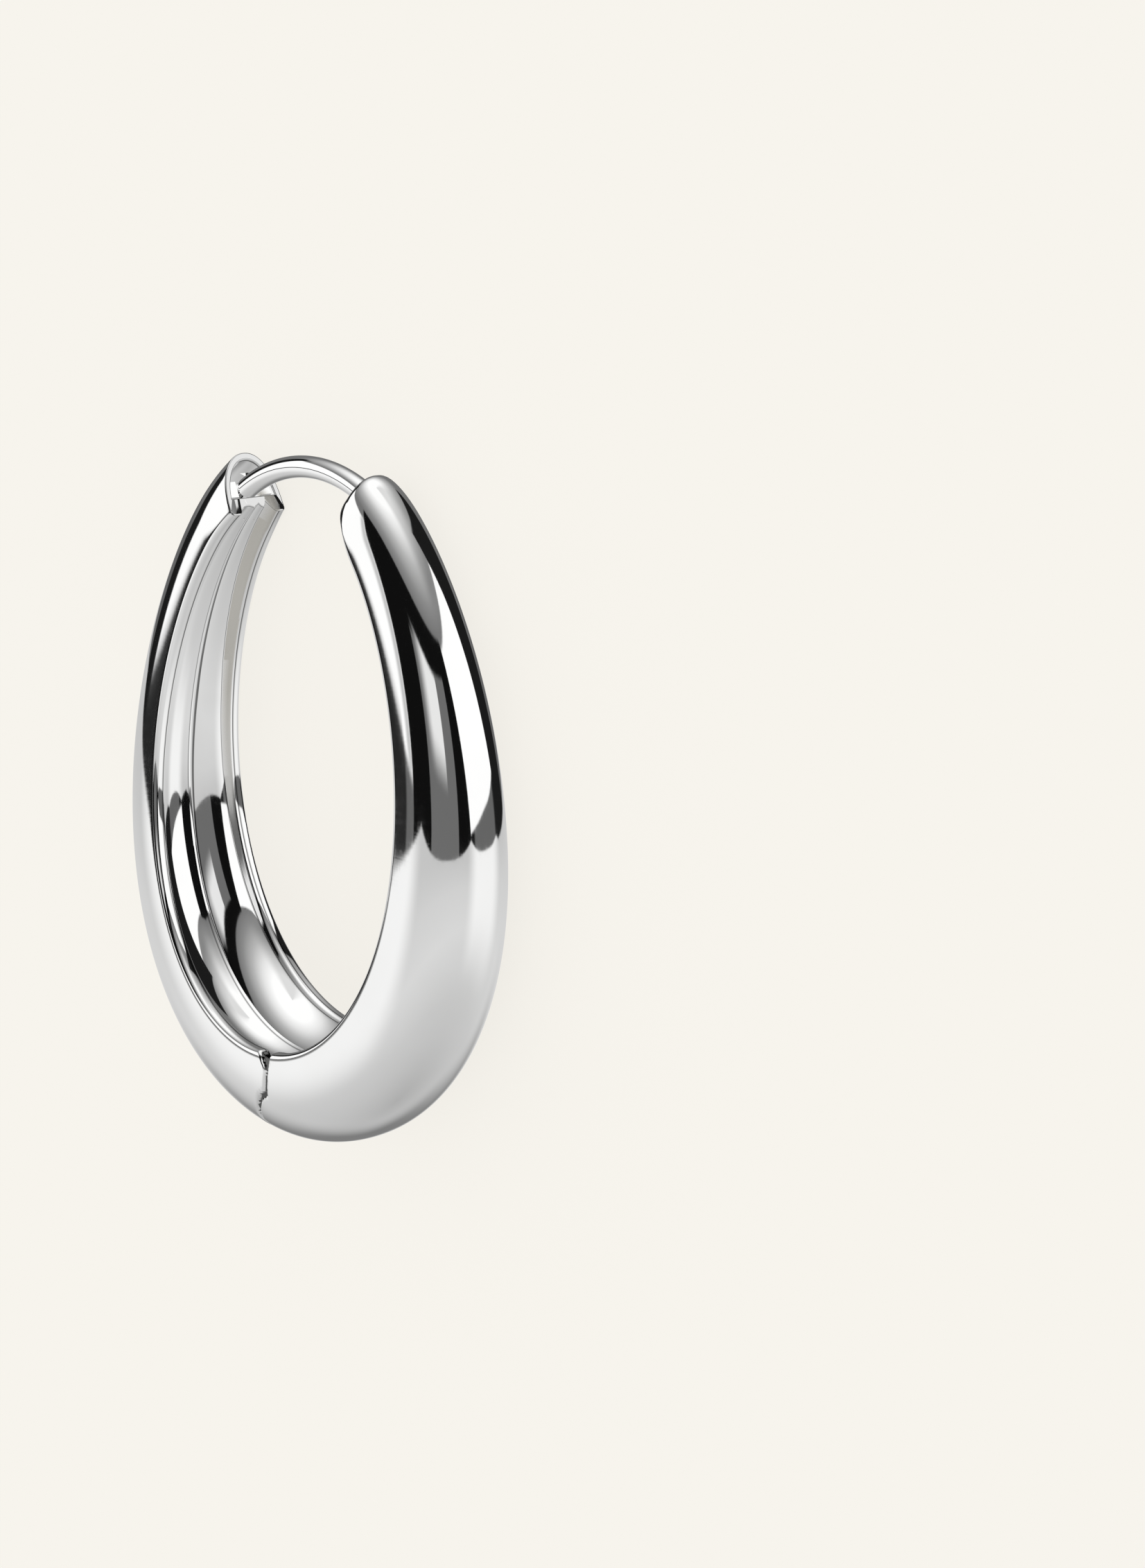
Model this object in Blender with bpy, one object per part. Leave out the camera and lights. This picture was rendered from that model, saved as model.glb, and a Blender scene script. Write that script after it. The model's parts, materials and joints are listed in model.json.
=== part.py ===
"""Hinged oval hoop earring, lying on its far rim, in metres.

The hoop is drawn flat: x runs across it from the back half to the front half,
y runs from the hinge to the ear wire, and z runs across the band's width.
An empty then leans it onto its rim, because the band is wider at the hinge.
"""
import math

import bmesh
import bpy
from mathutils import Matrix, Vector

MM = 0.001

# Rim oval, the widest line of the band, and how much wider it is below
RIM_HALF_WIDTH = 8.22 * MM
RIM_HALF_HEIGHT = 12.48 * MM
EGG_SHARE = 0.112

# Width of the band along z, at the hinge and at the top of the oval
WIDTH_HINGE = 6.31 * MM
WIDTH_TOP = 3.11 * MM

# Height of the domed back above the rim line, and the power of its curve
DOME_HINGE = 4.19 * MM
DOME_SIDE = 2.99 * MM
DOME_TOP = 2.34 * MM
DOME_POWER = 2.2

# Inner face of the band, from its rim to the middle ridge
RIM_ROUND = 0.25 * MM
LIP_WIDTH = 0.30 * MM
LIP_EDGE_ROUND = 0.18 * MM
CREASE_RUN = 0.30 * MM
CREASE_DEPTH = 0.60 * MM
RIDGE_DEPTH = 0.44 * MM
GUTTER_SAG = 0.30 * MM
RIDGE_HALF = 0.10 * MM
CHANNEL_WIDTH_REF = 4.98 * MM

# Tips, as angles from the hinge round the oval
BACK_TIP_ANGLE = math.radians(150.6)
FRONT_TIP_ANGLE = math.radians(153.9)
BACK_TIP_LEAN = math.radians(4.5)
FRONT_TIP_LEAN = math.radians(2.6)
TIP_LEAN_SPAN = math.radians(36.0)
TIP_TAPER = 0.10
TIP_TAPER_SPAN = math.radians(12.0)
TIP_ROUND = 0.55 * MM
TIP_SIDE_ROUND = 0.85 * MM
GROOVE_FADE = math.radians(14.0)

# Cavity in the back tip that takes the ear wire
SHELL_WALL = 0.30 * MM
CAVITY_FLOOR = 0.53 * MM
CAVITY_DEPTH = math.radians(27.0)

# Ear wire, an arc through both tips and soldered into the front one
WIRE_RADIUS = 0.475 * MM
WIRE_ARC_RADIUS = 8.0 * MM
WIRE_ROOT_OUT = 1.05 * MM
WIRE_MOUTH_OUT = 0.99 * MM
WIRE_ROOT_LENGTH = 1.20 * MM
WIRE_REACH = 0.90 * MM
WIRE_END_ROUND = 0.12 * MM
WIRE_CLEARANCE = 0.12 * MM

# Ring groove near the wire's end, and the catch jaws either side of it
GROOVE_LENGTH = 0.32 * MM
GROOVE_DEPTH = 0.12 * MM
JAW_INSET = 0.25 * MM
JAW_THICKNESS = 0.35 * MM
JAW_LOW = 0.70 * MM
JAW_HIGH = 1.36 * MM

# Hinge at the outer wall of the band
PIN_RADIUS = 0.28 * MM
PIN_HALF_LENGTH = 1.25 * MM
BORE_CLEARANCE = 0.05 * MM
PIVOT_X = -0.25 * MM
PIVOT_WALL = 0.77 * MM
KNUCKLE_OVER = 0.03 * MM
TONGUE_INSET = 0.15 * MM
TONGUE_HALF_WIDTH = 0.70 * MM
NECK_HALF_HEIGHT = 0.38 * MM
SLOT_CLEARANCE = 0.08 * MM
SEAM_GAP = 0.12 * MM
SEAM_X = 0.58 * MM
SEAM_SLANT = 0.28 * MM
FRONT_NOTCH = 0.20 * MM
BACK_NOTCH = 0.38 * MM
NOTCH_DEPTH = 0.80 * MM
SHOULDER_RISE = 1.68 * MM
SHOULDER_RUN = 0.48 * MM
SHOULDER_DROP = 0.30 * MM
OPENING_ANGLE = math.radians(40.0)

# Mesh steps
DOME_STEPS = 20
ROUND_STEPS = 3
GUTTER_STEPS = 4
LIMB_STEPS = 38
TIP_STEPS = 5
CAVITY_STEPS = 8
WIRE_STEPS = 26
WIRE_SIDES = 14
BORE_SIDES = 24
ARC_STEP = math.radians(9.0)

LIP_LEVEL = -RIM_ROUND
PIVOT_Y = -(RIM_HALF_HEIGHT + DOME_HINGE - PIVOT_WALL)
KNUCKLE_RADIUS = PIVOT_WALL + KNUCKLE_OVER
TONGUE_RADIUS = PIVOT_WALL - TONGUE_INSET
REACH = 2.0 * (RIM_HALF_HEIGHT + DOME_HINGE)
CUT_HALF = WIDTH_HINGE


def clear_scene():
    """Remove every object that is already in the file."""
    for old in list(bpy.data.objects):
        bpy.data.objects.remove(old, do_unlink=True)


def rim_point(angle):
    """Point of the rim oval, with angle 0 at the hinge and positive on the front half."""
    cosine = math.cos(angle)
    x = RIM_HALF_WIDTH * math.sin(angle) * (1.0 + EGG_SHARE * cosine)
    return Vector((x, -RIM_HALF_HEIGHT * cosine))


def rim_tangent(angle):
    """Direction of the rim oval as the angle grows, not normalised."""
    dx = RIM_HALF_WIDTH * (math.cos(angle) + EGG_SHARE * math.cos(2.0 * angle))
    return Vector((dx, RIM_HALF_HEIGHT * math.sin(angle)))


def rim_normal(angle):
    """Outward direction across the rim oval."""
    tangent = rim_tangent(angle).normalized()
    return Vector((tangent.y, -tangent.x))


def band_width(angle):
    """Width of the band, which falls evenly with height so that the rim is flat."""
    middle = 0.5 * (WIDTH_HINGE + WIDTH_TOP)
    return middle + 0.5 * (WIDTH_HINGE - WIDTH_TOP) * math.cos(angle)


def dome_height(angle):
    """Height of the dome above the rim line, through its hinge, side and top values."""
    cosine = math.cos(angle)
    slope = 0.5 * (DOME_HINGE - DOME_TOP)
    bend = 0.5 * (DOME_HINGE + DOME_TOP) - DOME_SIDE
    return DOME_SIDE + slope * cosine + bend * cosine * cosine


def near_tip(angle, span):
    """Share that grows from 0 to 1 over the last span before either tip."""
    tip = FRONT_TIP_ANGLE if angle > 0.0 else BACK_TIP_ANGLE
    return min(max(1.0 - (tip - abs(angle)) / span, 0.0), 1.0)


def tip_lean(angle):
    """Extra angle of the crown, so that each tip's end leans over the opening."""
    share = near_tip(angle, TIP_LEAN_SPAN)
    lean = FRONT_TIP_LEAN if angle > 0.0 else -BACK_TIP_LEAN
    return lean * share * share * (3.0 - 2.0 * share)


def band_point(angle, across, out):
    """Point of the band at a place along it, across its width and out from its rim line."""
    leaned = angle + tip_lean(angle) * max(out, 0.0) / dome_height(angle)
    spot = rim_point(leaned) + rim_normal(leaned) * out
    taper = 1.0 - TIP_TAPER * near_tip(angle, TIP_TAPER_SPAN) ** 2
    return Vector((spot.x, spot.y, across * taper))


def dome_curve(half, height, floor):
    """Half of a dome from its crown down to the floor level, as (across, out) pairs."""
    power = 2.0 / DOME_POWER
    low = math.asin((floor / height) ** (1.0 / power))
    curve = []
    for step in range(DOME_STEPS // 2 + 1):
        turn = math.pi / 2.0 + (low - math.pi / 2.0) * step / (DOME_STEPS // 2)
        curve.append((half * abs(math.cos(turn)) ** power, height * math.sin(turn) ** power))
    curve[0] = (0.0, height)
    return curve


def inner_curve(width, groove):
    """Half of the inner face, from the rim's side round its lip and down to the ridge."""
    half = 0.5 * width
    share = groove * width / CHANNEL_WIDTH_REF
    curve = []
    for step in range(1, ROUND_STEPS + 1):
        turn = 0.5 * math.pi * step / ROUND_STEPS
        across = half - RIM_ROUND + RIM_ROUND * math.cos(turn)
        curve.append((across, -RIM_ROUND * math.sin(turn)))
    lip_end = half - RIM_ROUND - LIP_WIDTH
    for step in range(ROUND_STEPS):
        turn = 0.5 * math.pi * step / (ROUND_STEPS - 1)
        across = lip_end - LIP_EDGE_ROUND * math.sin(turn)
        depth = LIP_EDGE_ROUND * (1.0 - math.cos(turn)) * min(groove, 1.0)
        curve.append((across, LIP_LEVEL + depth))
    crease = lip_end - LIP_EDGE_ROUND - CREASE_RUN * width / CHANNEL_WIDTH_REF
    for step in range(GUTTER_STEPS + 1):
        along = step / GUTTER_STEPS
        across = crease + (RIDGE_HALF - crease) * along
        level = CREASE_DEPTH + (RIDGE_DEPTH - CREASE_DEPTH) * along
        depth = share * (level + GUTTER_SAG * 4.0 * along * (1.0 - along))
        curve.append((across, LIP_LEVEL + depth))
    return curve


def closed_loop(curve):
    """Whole section from its half, which starts on the middle line at the crown."""
    mirrored = [(-across, out) for across, out in reversed(curve[1:])]
    return curve + mirrored


def band_section(angle, groove=1.0):
    """Closed section of the band: dome, rims, lips and the ribbed inner face."""
    width = band_width(angle)
    curve = dome_curve(0.5 * width, dome_height(angle), 0.0)
    return closed_loop(curve + inner_curve(width, groove))


def cavity_section(angle):
    """Closed section of the cavity, with as many points as the band's own section."""
    half = 0.5 * band_width(angle) - SHELL_WALL
    curve = dome_curve(half, dome_height(angle) - SHELL_WALL, CAVITY_FLOOR)
    corner = curve[-1][0]
    count = 2 * ROUND_STEPS + GUTTER_STEPS + 1
    for step in range(1, count + 1):
        curve.append((corner + (RIDGE_HALF - corner) * step / count, CAVITY_FLOOR))
    return closed_loop(curve)


def rounded_section(angle, turn):
    """Tip section without its groove, drawn in along the round of the closed end."""
    half = 0.5 * band_width(angle)
    middle = 0.5 * (dome_height(angle) + LIP_LEVEL)
    across_share = 1.0 - TIP_SIDE_ROUND * (1.0 - math.cos(turn)) / half
    out_share = 1.0 - TIP_ROUND * (1.0 - math.cos(turn)) / (middle - LIP_LEVEL)
    section = band_section(angle, 0.0)
    return [(across * across_share, middle + (out - middle) * out_share) for across, out in section]


def tip_groove(angle):
    """Share of the groove's depth, which fades out before the closed front tip."""
    return 1.0 - near_tip(angle, GROOVE_FADE)


def new_object(name, mesh_source):
    """Object with the mesh of a bmesh, its faces turned outward."""
    bmesh.ops.recalc_face_normals(mesh_source, faces=mesh_source.faces)
    mesh = bpy.data.meshes.new(name)
    mesh_source.to_mesh(mesh)
    mesh_source.free()
    result = bpy.data.objects.new(name, mesh)
    bpy.context.scene.collection.objects.link(result)
    return result


def extruded_rings(name, rings):
    """Solid that starts as a face on the first ring and is extruded through the others."""
    shape = bmesh.new()
    face = shape.faces.new([shape.verts.new(point) for point in rings[0]])
    for ring in rings[1:]:
        whole_face = [face, *face.edges, *face.verts]
        grown = bmesh.ops.extrude_face_region(shape, geom=whole_face)["geom"]
        face = next(item for item in grown if isinstance(item, bmesh.types.BMFace))
        for vert, point in zip(face.verts, ring):
            vert.co = point
    return new_object(name, shape)


def prism(name, outline, half_length):
    """Prism of an outline in the hoop's plane, both ways along z."""
    shape = bmesh.new()
    face = shape.faces.new([shape.verts.new((x, y, -half_length)) for x, y in outline])
    grown = bmesh.ops.extrude_face_region(shape, geom=[face])
    verts = [item for item in grown["geom"] if isinstance(item, bmesh.types.BMVert)]
    bmesh.ops.translate(shape, verts=verts, vec=(0.0, 0.0, 2.0 * half_length))
    return new_object(name, shape)


def rod(name, radius, half_length, centre, sides):
    """Round rod along z at a point of the hoop's plane."""
    shape = bmesh.new()
    bmesh.ops.create_cone(
        shape, cap_ends=True, segments=sides, radius1=radius, radius2=radius,
        depth=2.0 * half_length, matrix=Matrix.Translation((centre[0], centre[1], 0.0)))
    return new_object(name, shape)


def boolean(target, operation, tool):
    """Join or cut the target with a tool, which is used up."""
    step = target.modifiers.new(operation, "BOOLEAN")
    step.operation = operation
    step.solver = "EXACT"
    step.object = tool
    depsgraph = bpy.context.evaluated_depsgraph_get()
    result = bpy.data.meshes.new_from_object(target.evaluated_get(depsgraph))
    target.modifiers.clear()
    target.data = result
    bpy.data.objects.remove(tool, do_unlink=True)


def wire_root():
    """Point where the ear wire's middle line meets the front tip."""
    return band_point(FRONT_TIP_ANGLE, 0.0, WIRE_ROOT_OUT).xy


def wire_mouth():
    """Point where the ear wire's middle line enters the back tip."""
    return band_point(-BACK_TIP_ANGLE, 0.0, WIRE_MOUTH_OUT).xy


def wire_centre():
    """Centre of the ear wire's arc, below the line between its root and the mouth."""
    chord = wire_root() - wire_mouth()
    across = Vector((chord.y, -chord.x)).normalized()
    drop = math.sqrt(WIRE_ARC_RADIUS ** 2 - 0.25 * chord.length_squared)
    return 0.5 * (wire_root() + wire_mouth()) + across * drop


def wire_turn(spot):
    """Angle of a point about the arc's centre, with 0 at the crown."""
    offset = spot - wire_centre()
    return math.atan2(offset.x, offset.y)


def wire_point(angle):
    """Point of the ear wire's middle line, with angle 0 at its crown."""
    return wire_centre() + WIRE_ARC_RADIUS * Vector((math.sin(angle), math.cos(angle)))


def pivot_point(turn, radius):
    """Point round the hinge pin, with the turn counted from the x direction."""
    return (PIVOT_X + radius * math.cos(turn), PIVOT_Y + radius * math.sin(turn))


def seam_outline(gap, notch, last_turn):
    """Seam between the halves, from the lips down round the knuckle to the outer wall."""
    face_x = SEAM_X - gap
    low_x = face_x - SEAM_SLANT
    lip_y = -RIM_HALF_HEIGHT - LIP_LEVEL
    shoulder_y = PIVOT_Y + SHOULDER_RISE + gap
    jog = Vector((low_x - SHOULDER_RUN, shoulder_y - SHOULDER_DROP))
    radius = KNUCKLE_RADIUS + gap
    offset = jog - Vector((PIVOT_X, PIVOT_Y))
    jog_turn = math.atan2(offset.y, offset.x)
    first_turn = jog_turn + math.acos(radius / offset.length)
    outline = [
        (face_x + 2.0 * notch, lip_y + NOTCH_DEPTH),
        (face_x, lip_y - NOTCH_DEPTH),
        (low_x, shoulder_y),
        (jog.x, jog.y),
    ]
    steps = math.ceil((last_turn - first_turn) / ARC_STEP)
    for step in range(steps + 1):
        outline.append(pivot_point(first_turn + (last_turn - first_turn) * step / steps, radius))
    outline.append(pivot_point(last_turn, REACH))
    return outline


def knuckle_end_turn():
    """Turn at which the knuckle's round meets the outer wall, past straight down."""
    return 1.5 * math.pi + math.acos(min(PIVOT_WALL / KNUCKLE_RADIUS, 1.0))


def socket_end_turn():
    """Turn at which the socket's round leaves the back half, short of straight down."""
    return 1.5 * math.pi - OPENING_ANGLE


def front_end_cutter():
    """Everything on the back half's side of the front half's end."""
    outline = seam_outline(0.0, FRONT_NOTCH, knuckle_end_turn())
    outline.append((-REACH, -REACH))
    outline.append((-REACH, outline[0][1]))
    return prism("front_end_cutter", outline, CUT_HALF)


def back_end_cutter():
    """Everything on the front half's side of the back half's end."""
    outline = seam_outline(SEAM_GAP, -BACK_NOTCH, socket_end_turn())
    outline.append((REACH, -REACH))
    outline.append((REACH, outline[0][1]))
    return prism("back_end_cutter", outline, CUT_HALF)


def neck_outline(half_height, near, far):
    """Corners of the tongue's neck about the pin, reaching from the pin into the back half."""
    return [(near, half_height), (-far, half_height), (-far, -half_height), (near, -half_height)]


def turned(point, turn):
    """Point about the pin, turned round it and placed in the hoop's plane."""
    spot = Matrix.Rotation(turn, 2) @ Vector(point)
    return (PIVOT_X + spot.x, PIVOT_Y + spot.y)


def slot_cutter():
    """Room in the front half for the neck in every position of the hinge."""
    half_height = NECK_HALF_HEIGHT + SEAM_GAP
    corners = neck_outline(half_height, 0.0, REACH)
    outline = [turned(corners[0], 0.0), turned(corners[1], 0.0)]
    outline += [turned(corners[2], OPENING_ANGLE), turned(corners[3], OPENING_ANGLE)]
    half_width = TONGUE_HALF_WIDTH + SLOT_CLEARANCE
    cutter = prism("slot_cutter", outline, half_width)
    centre = (PIVOT_X, PIVOT_Y)
    room = rod("tongue_room", TONGUE_RADIUS + SEAM_GAP, half_width, centre, BORE_SIDES)
    boolean(cutter, "UNION", room)
    return cutter


def tongue():
    """Middle knuckle of the back half, a round eye on a neck."""
    far = KNUCKLE_RADIUS + 2.0 * SEAM_GAP
    outline = [turned(corner, 0.0) for corner in neck_outline(NECK_HALF_HEIGHT, 0.0, far)]
    neck = prism("neck", outline, TONGUE_HALF_WIDTH)
    eye = rod("eye", TONGUE_RADIUS, TONGUE_HALF_WIDTH, (PIVOT_X, PIVOT_Y), BORE_SIDES)
    boolean(neck, "UNION", eye)
    return neck


def bore_cutter():
    """Bore that the hinge pin turns in."""
    radius = PIN_RADIUS + BORE_CLEARANCE
    half_length = PIN_HALF_LENGTH + BORE_CLEARANCE
    return rod("bore_cutter", radius, half_length, (PIVOT_X, PIVOT_Y), BORE_SIDES)


def catch_jaws():
    """Block across the cavity's mouth, which the way out then splits into two jaws."""
    rate = rim_tangent(BACK_TIP_ANGLE).length
    outer = JAW_INSET / rate - BACK_TIP_ANGLE
    inner = outer + JAW_THICKNESS / rate
    corners = [(outer, JAW_LOW), (outer, JAW_HIGH), (inner, JAW_HIGH), (inner, JAW_LOW)]
    outline = [band_point(angle, 0.0, out).xy for angle, out in corners]
    return prism("catch_jaws", outline, 0.5 * band_width(BACK_TIP_ANGLE) - 1.5 * SHELL_WALL)


def wire_end_turn():
    """Angle at which the ear wire ends inside the back tip."""
    return wire_turn(wire_mouth()) - WIRE_REACH / WIRE_ARC_RADIUS


def wire_ring(angle, radius):
    """Ring of points round the wire at a place on its arc."""
    outward = Vector((math.sin(angle), math.cos(angle)))
    ring = []
    for side in range(WIRE_SIDES):
        turn = 2.0 * math.pi * side / WIRE_SIDES
        spot = wire_point(angle) + outward * radius * math.cos(turn)
        ring.append(Vector((spot.x, spot.y, radius * math.sin(turn))))
    return ring


def ear_wire():
    """Round wire along its arc, with a ring groove near its rounded end."""
    first = wire_turn(wire_root()) + WIRE_ROOT_LENGTH / WIRE_ARC_RADIUS
    last = wire_end_turn() + WIRE_END_ROUND / WIRE_ARC_RADIUS
    jaw_middle = JAW_INSET + 0.5 * JAW_THICKNESS
    groove_start = wire_turn(wire_mouth()) - (jaw_middle - 0.5 * GROOVE_LENGTH) / WIRE_ARC_RADIUS
    groove_turn = GROOVE_LENGTH / WIRE_ARC_RADIUS
    round_turn = WIRE_END_ROUND / WIRE_ARC_RADIUS
    slope_turn = GROOVE_DEPTH / WIRE_ARC_RADIUS
    rings = []
    for step in range(WIRE_STEPS + 1):
        angle = first + (groove_start - first) * step / WIRE_STEPS
        rings.append(wire_ring(angle, WIRE_RADIUS))
    rings.append(wire_ring(groove_start - slope_turn, WIRE_RADIUS - GROOVE_DEPTH))
    rings.append(wire_ring(groove_start - groove_turn + slope_turn, WIRE_RADIUS - GROOVE_DEPTH))
    rings.append(wire_ring(groove_start - groove_turn, WIRE_RADIUS))
    for step in range(ROUND_STEPS + 1):
        turn = 0.5 * math.pi * step / ROUND_STEPS
        inset = WIRE_END_ROUND * (1.0 - math.cos(turn))
        rings.append(wire_ring(last - round_turn * math.sin(turn), WIRE_RADIUS - inset))
    return extruded_rings("ear_wire", rings)


def way_out_cutter():
    """Round-bottomed way along which the wire's end swings out past the plate and jaws."""
    tip = wire_point(wire_end_turn())
    arm = tip - Vector((PIVOT_X, PIVOT_Y))
    heading = Vector((arm.y, -arm.x)).normalized()
    rise = Vector((-heading.y, heading.x))
    radius = WIRE_RADIUS + WIRE_CLEARANCE
    profile = [(radius, 2.0 * WIRE_RADIUS), (-radius, 2.0 * WIRE_RADIUS)]
    for step in range(BORE_SIDES // 2 + 1):
        turn = math.pi + 2.0 * math.pi * step / BORE_SIDES
        profile.append((radius * math.cos(turn), radius * math.sin(turn)))
    rings = []
    for along in (-2.0 * WIRE_CLEARANCE, WIDTH_TOP):
        base = tip + heading * along
        places = [(base + rise * up, across) for across, up in profile]
        rings.append([Vector((place.x, place.y, across)) for place, across in places])
    return extruded_rings("way_out_cutter", rings)


def limb_rings(first, last, groove):
    """Rings of the band from one angle to another, for one half of the hoop."""
    rings = []
    for step in range(LIMB_STEPS + 1):
        angle = first + (last - first) * step / LIMB_STEPS
        section = band_section(angle, groove(angle))
        rings.append([band_point(angle, across, out) for across, out in section])
    return rings


def front_half():
    """Front half with its closed round tip, hinge knuckles and the soldered ear wire."""
    round_turn = TIP_ROUND / rim_tangent(FRONT_TIP_ANGLE).length
    start = -(KNUCKLE_RADIUS - PIVOT_X + SEAM_X) / RIM_HALF_WIDTH
    last = FRONT_TIP_ANGLE - round_turn
    rings = limb_rings(start, last, tip_groove)
    for step in range(1, TIP_STEPS + 1):
        turn = 0.5 * math.pi * step / TIP_STEPS
        angle = last + round_turn * math.sin(turn)
        section = rounded_section(angle, turn)
        rings.append([band_point(angle, across, out) for across, out in section])
    half = extruded_rings("front_half", rings)
    boolean(half, "DIFFERENCE", front_end_cutter())
    boolean(half, "DIFFERENCE", slot_cutter())
    boolean(half, "DIFFERENCE", bore_cutter())
    boolean(half, "UNION", ear_wire())
    return half


def back_half():
    """Back half with its open tip, the cavity and catch jaws inside, and the hinge tongue."""
    start = SEAM_X / RIM_HALF_WIDTH
    rings = limb_rings(start, -BACK_TIP_ANGLE, lambda angle: 1.0)
    for step in range(CAVITY_STEPS + 1):
        angle = CAVITY_DEPTH * step / CAVITY_STEPS - BACK_TIP_ANGLE
        section = cavity_section(angle)
        rings.append([band_point(angle, across, out) for across, out in section])
    half = extruded_rings("back_half", rings)
    boolean(half, "DIFFERENCE", back_end_cutter())
    boolean(half, "UNION", tongue())
    boolean(half, "DIFFERENCE", bore_cutter())
    boolean(half, "UNION", catch_jaws())
    boolean(half, "DIFFERENCE", way_out_cutter())
    return half


def hinge_pin():
    """Plain pin inside the knuckles."""
    return rod("hinge_pin", PIN_RADIUS, PIN_HALF_LENGTH, (PIVOT_X, PIVOT_Y), BORE_SIDES)


def silver(name, colour, roughness):
    """Polished silver material."""
    material = bpy.data.materials.new(name)
    material.use_nodes = True
    shader = material.node_tree.nodes["Principled BSDF"]
    shader.inputs["Base Color"].default_value = colour
    shader.inputs["Metallic"].default_value = 1.0
    shader.inputs["Roughness"].default_value = roughness
    return material


def move_origin(piece, origin):
    """Put the piece's origin on a point without moving its shape."""
    piece.data.transform(Matrix.Translation(-origin))
    piece.location = origin


def world_bounds(pieces):
    """Lowest and highest corner of the pieces in the world."""
    bpy.context.view_layer.update()
    spots = [piece.matrix_world @ vert.co for piece in pieces for vert in piece.data.vertices]
    low = Vector([min(spot[axis] for spot in spots) for axis in range(3)])
    high = Vector([max(spot[axis] for spot in spots) for axis in range(3)])
    return low, high


def build():
    """Make the three pieces and lay the closed hoop on its far rim."""
    clear_scene()
    pivot = Vector((PIVOT_X, PIVOT_Y, 0.0))
    front = front_half()
    back = back_half()
    pin = hinge_pin()
    front.data.materials.append(silver("front_silver", (0.93, 0.93, 0.92, 1.0), 0.05))
    back.data.materials.append(silver("back_silver", (0.93, 0.93, 0.92, 1.0), 0.05))
    pin.data.materials.append(silver("pin_silver", (0.80, 0.80, 0.79, 1.0), 0.20))
    rest = bpy.data.objects.new("hoop_rest", None)
    bpy.context.scene.collection.objects.link(rest)
    pieces = (front, back, pin)
    for piece in pieces:
        move_origin(piece, pivot)
        piece.parent = rest
        piece.data.shade_smooth()
        piece.data.set_sharp_from_angle(angle=math.radians(30.0))
    rest.rotation_euler.x = -math.atan2(0.5 * (WIDTH_HINGE - WIDTH_TOP), 2.0 * RIM_HALF_HEIGHT)
    low, high = world_bounds(pieces)
    rest.location = Vector((-0.5 * (low.x + high.x), -0.5 * (low.y + high.y), -low.z))
    low, high = world_bounds(pieces)
    axis = rest.matrix_world.to_3x3() @ Vector((0.0, 0.0, -1.0))
    print("hinge point", tuple(round(value, 7) for value in rest.matrix_world @ pivot))
    print("hinge axis", tuple(round(value, 6) for value in axis))
    print("size", tuple(round(value, 6) for value in high - low))


build()
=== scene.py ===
# %% [markdown]
# A hinged oval hoop earring in polished silver, lying on its side.
#
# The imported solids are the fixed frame: they say where the hinge is, how big the hoop is and
# which piece moves. This script gives the hoop its looks. It sweeps both halves again, far
# finer than the solids, because a mirror finish shows every facet in what it reflects.

# %% Load the frame
import json
import math

import bmesh
import bpy
from mathutils import Matrix, Vector
from mathutils.bvhtree import BVHTree
from mathutils.kdtree import KDTree


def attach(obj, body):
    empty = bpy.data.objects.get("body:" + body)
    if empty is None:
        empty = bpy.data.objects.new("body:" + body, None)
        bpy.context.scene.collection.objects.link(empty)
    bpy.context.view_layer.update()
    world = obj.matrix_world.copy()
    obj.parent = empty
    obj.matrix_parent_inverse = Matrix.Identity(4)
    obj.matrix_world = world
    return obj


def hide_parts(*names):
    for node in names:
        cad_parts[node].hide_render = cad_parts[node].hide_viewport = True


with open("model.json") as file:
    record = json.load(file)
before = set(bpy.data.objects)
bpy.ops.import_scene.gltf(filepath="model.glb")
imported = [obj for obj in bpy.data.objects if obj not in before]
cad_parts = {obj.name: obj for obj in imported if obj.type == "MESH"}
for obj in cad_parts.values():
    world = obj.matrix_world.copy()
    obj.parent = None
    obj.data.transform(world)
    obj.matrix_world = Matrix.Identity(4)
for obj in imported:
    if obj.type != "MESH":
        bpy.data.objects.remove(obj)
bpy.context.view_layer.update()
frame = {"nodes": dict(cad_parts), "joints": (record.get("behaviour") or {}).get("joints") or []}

# %% [markdown]
# A jeweller draws such a hoop flat: an oval rim line, a width for the band at the bottom and at
# the top, and a height for its domed back. All lengths are metres, and MM keeps them readable.

# %% The hoop's own sizes
MM = 0.001
RIM_HALF_WIDTH = 8.22 * MM
RIM_HALF_HEIGHT = 12.48 * MM
EGG_SHARE = 0.112
WIDTH_HINGE = 6.31 * MM
WIDTH_TOP = 3.11 * MM
DOME_HINGE = 4.19 * MM
DOME_SIDE = 2.99 * MM
DOME_TOP = 2.34 * MM
DOME_POWER = 2.2

# %% The inner face, from the near lip to the far one
RIM_ROUND = 0.25 * MM
LIP_LEVEL = -RIM_ROUND
LIP_EDGE_ROUND = 0.18 * MM
REFERENCE_WIDTH = 4.71 * MM
NEAR_LIP_WIDTH = 0.20 * MM
TROUGH_MIDDLE = 0.86 * MM
TROUGH_RADIUS = 1.15 * MM
TROUGH_DEPTH = 0.66 * MM
TROUGH_FIRST = math.radians(43.0)
TROUGH_LAST = math.radians(-34.0)
RIDGE_ACROSS = 0.13 * MM
RIDGE_DEPTH = 0.46 * MM
RIDGE_ROUND = 0.05 * MM
RIDGE_FALL = 0.3
FOOT_DROP = 0.18 * MM
FOOT_LENGTH = 0.05 * MM
FOOT_RISE = 0.02 * MM
RIB_START = 0.24 * MM
RIB_FIRST = math.radians(57.0)
RIB_LAST = math.radians(9.0)
RIB_CROWN_DEPTH = 0.03 * MM
RIB_EDGE_ROUND = 0.09 * MM
SLIT_WIDTH = 0.045 * MM
SLIT_FLOOR = 0.4
WALL_TILT = math.radians(50.0)
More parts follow.
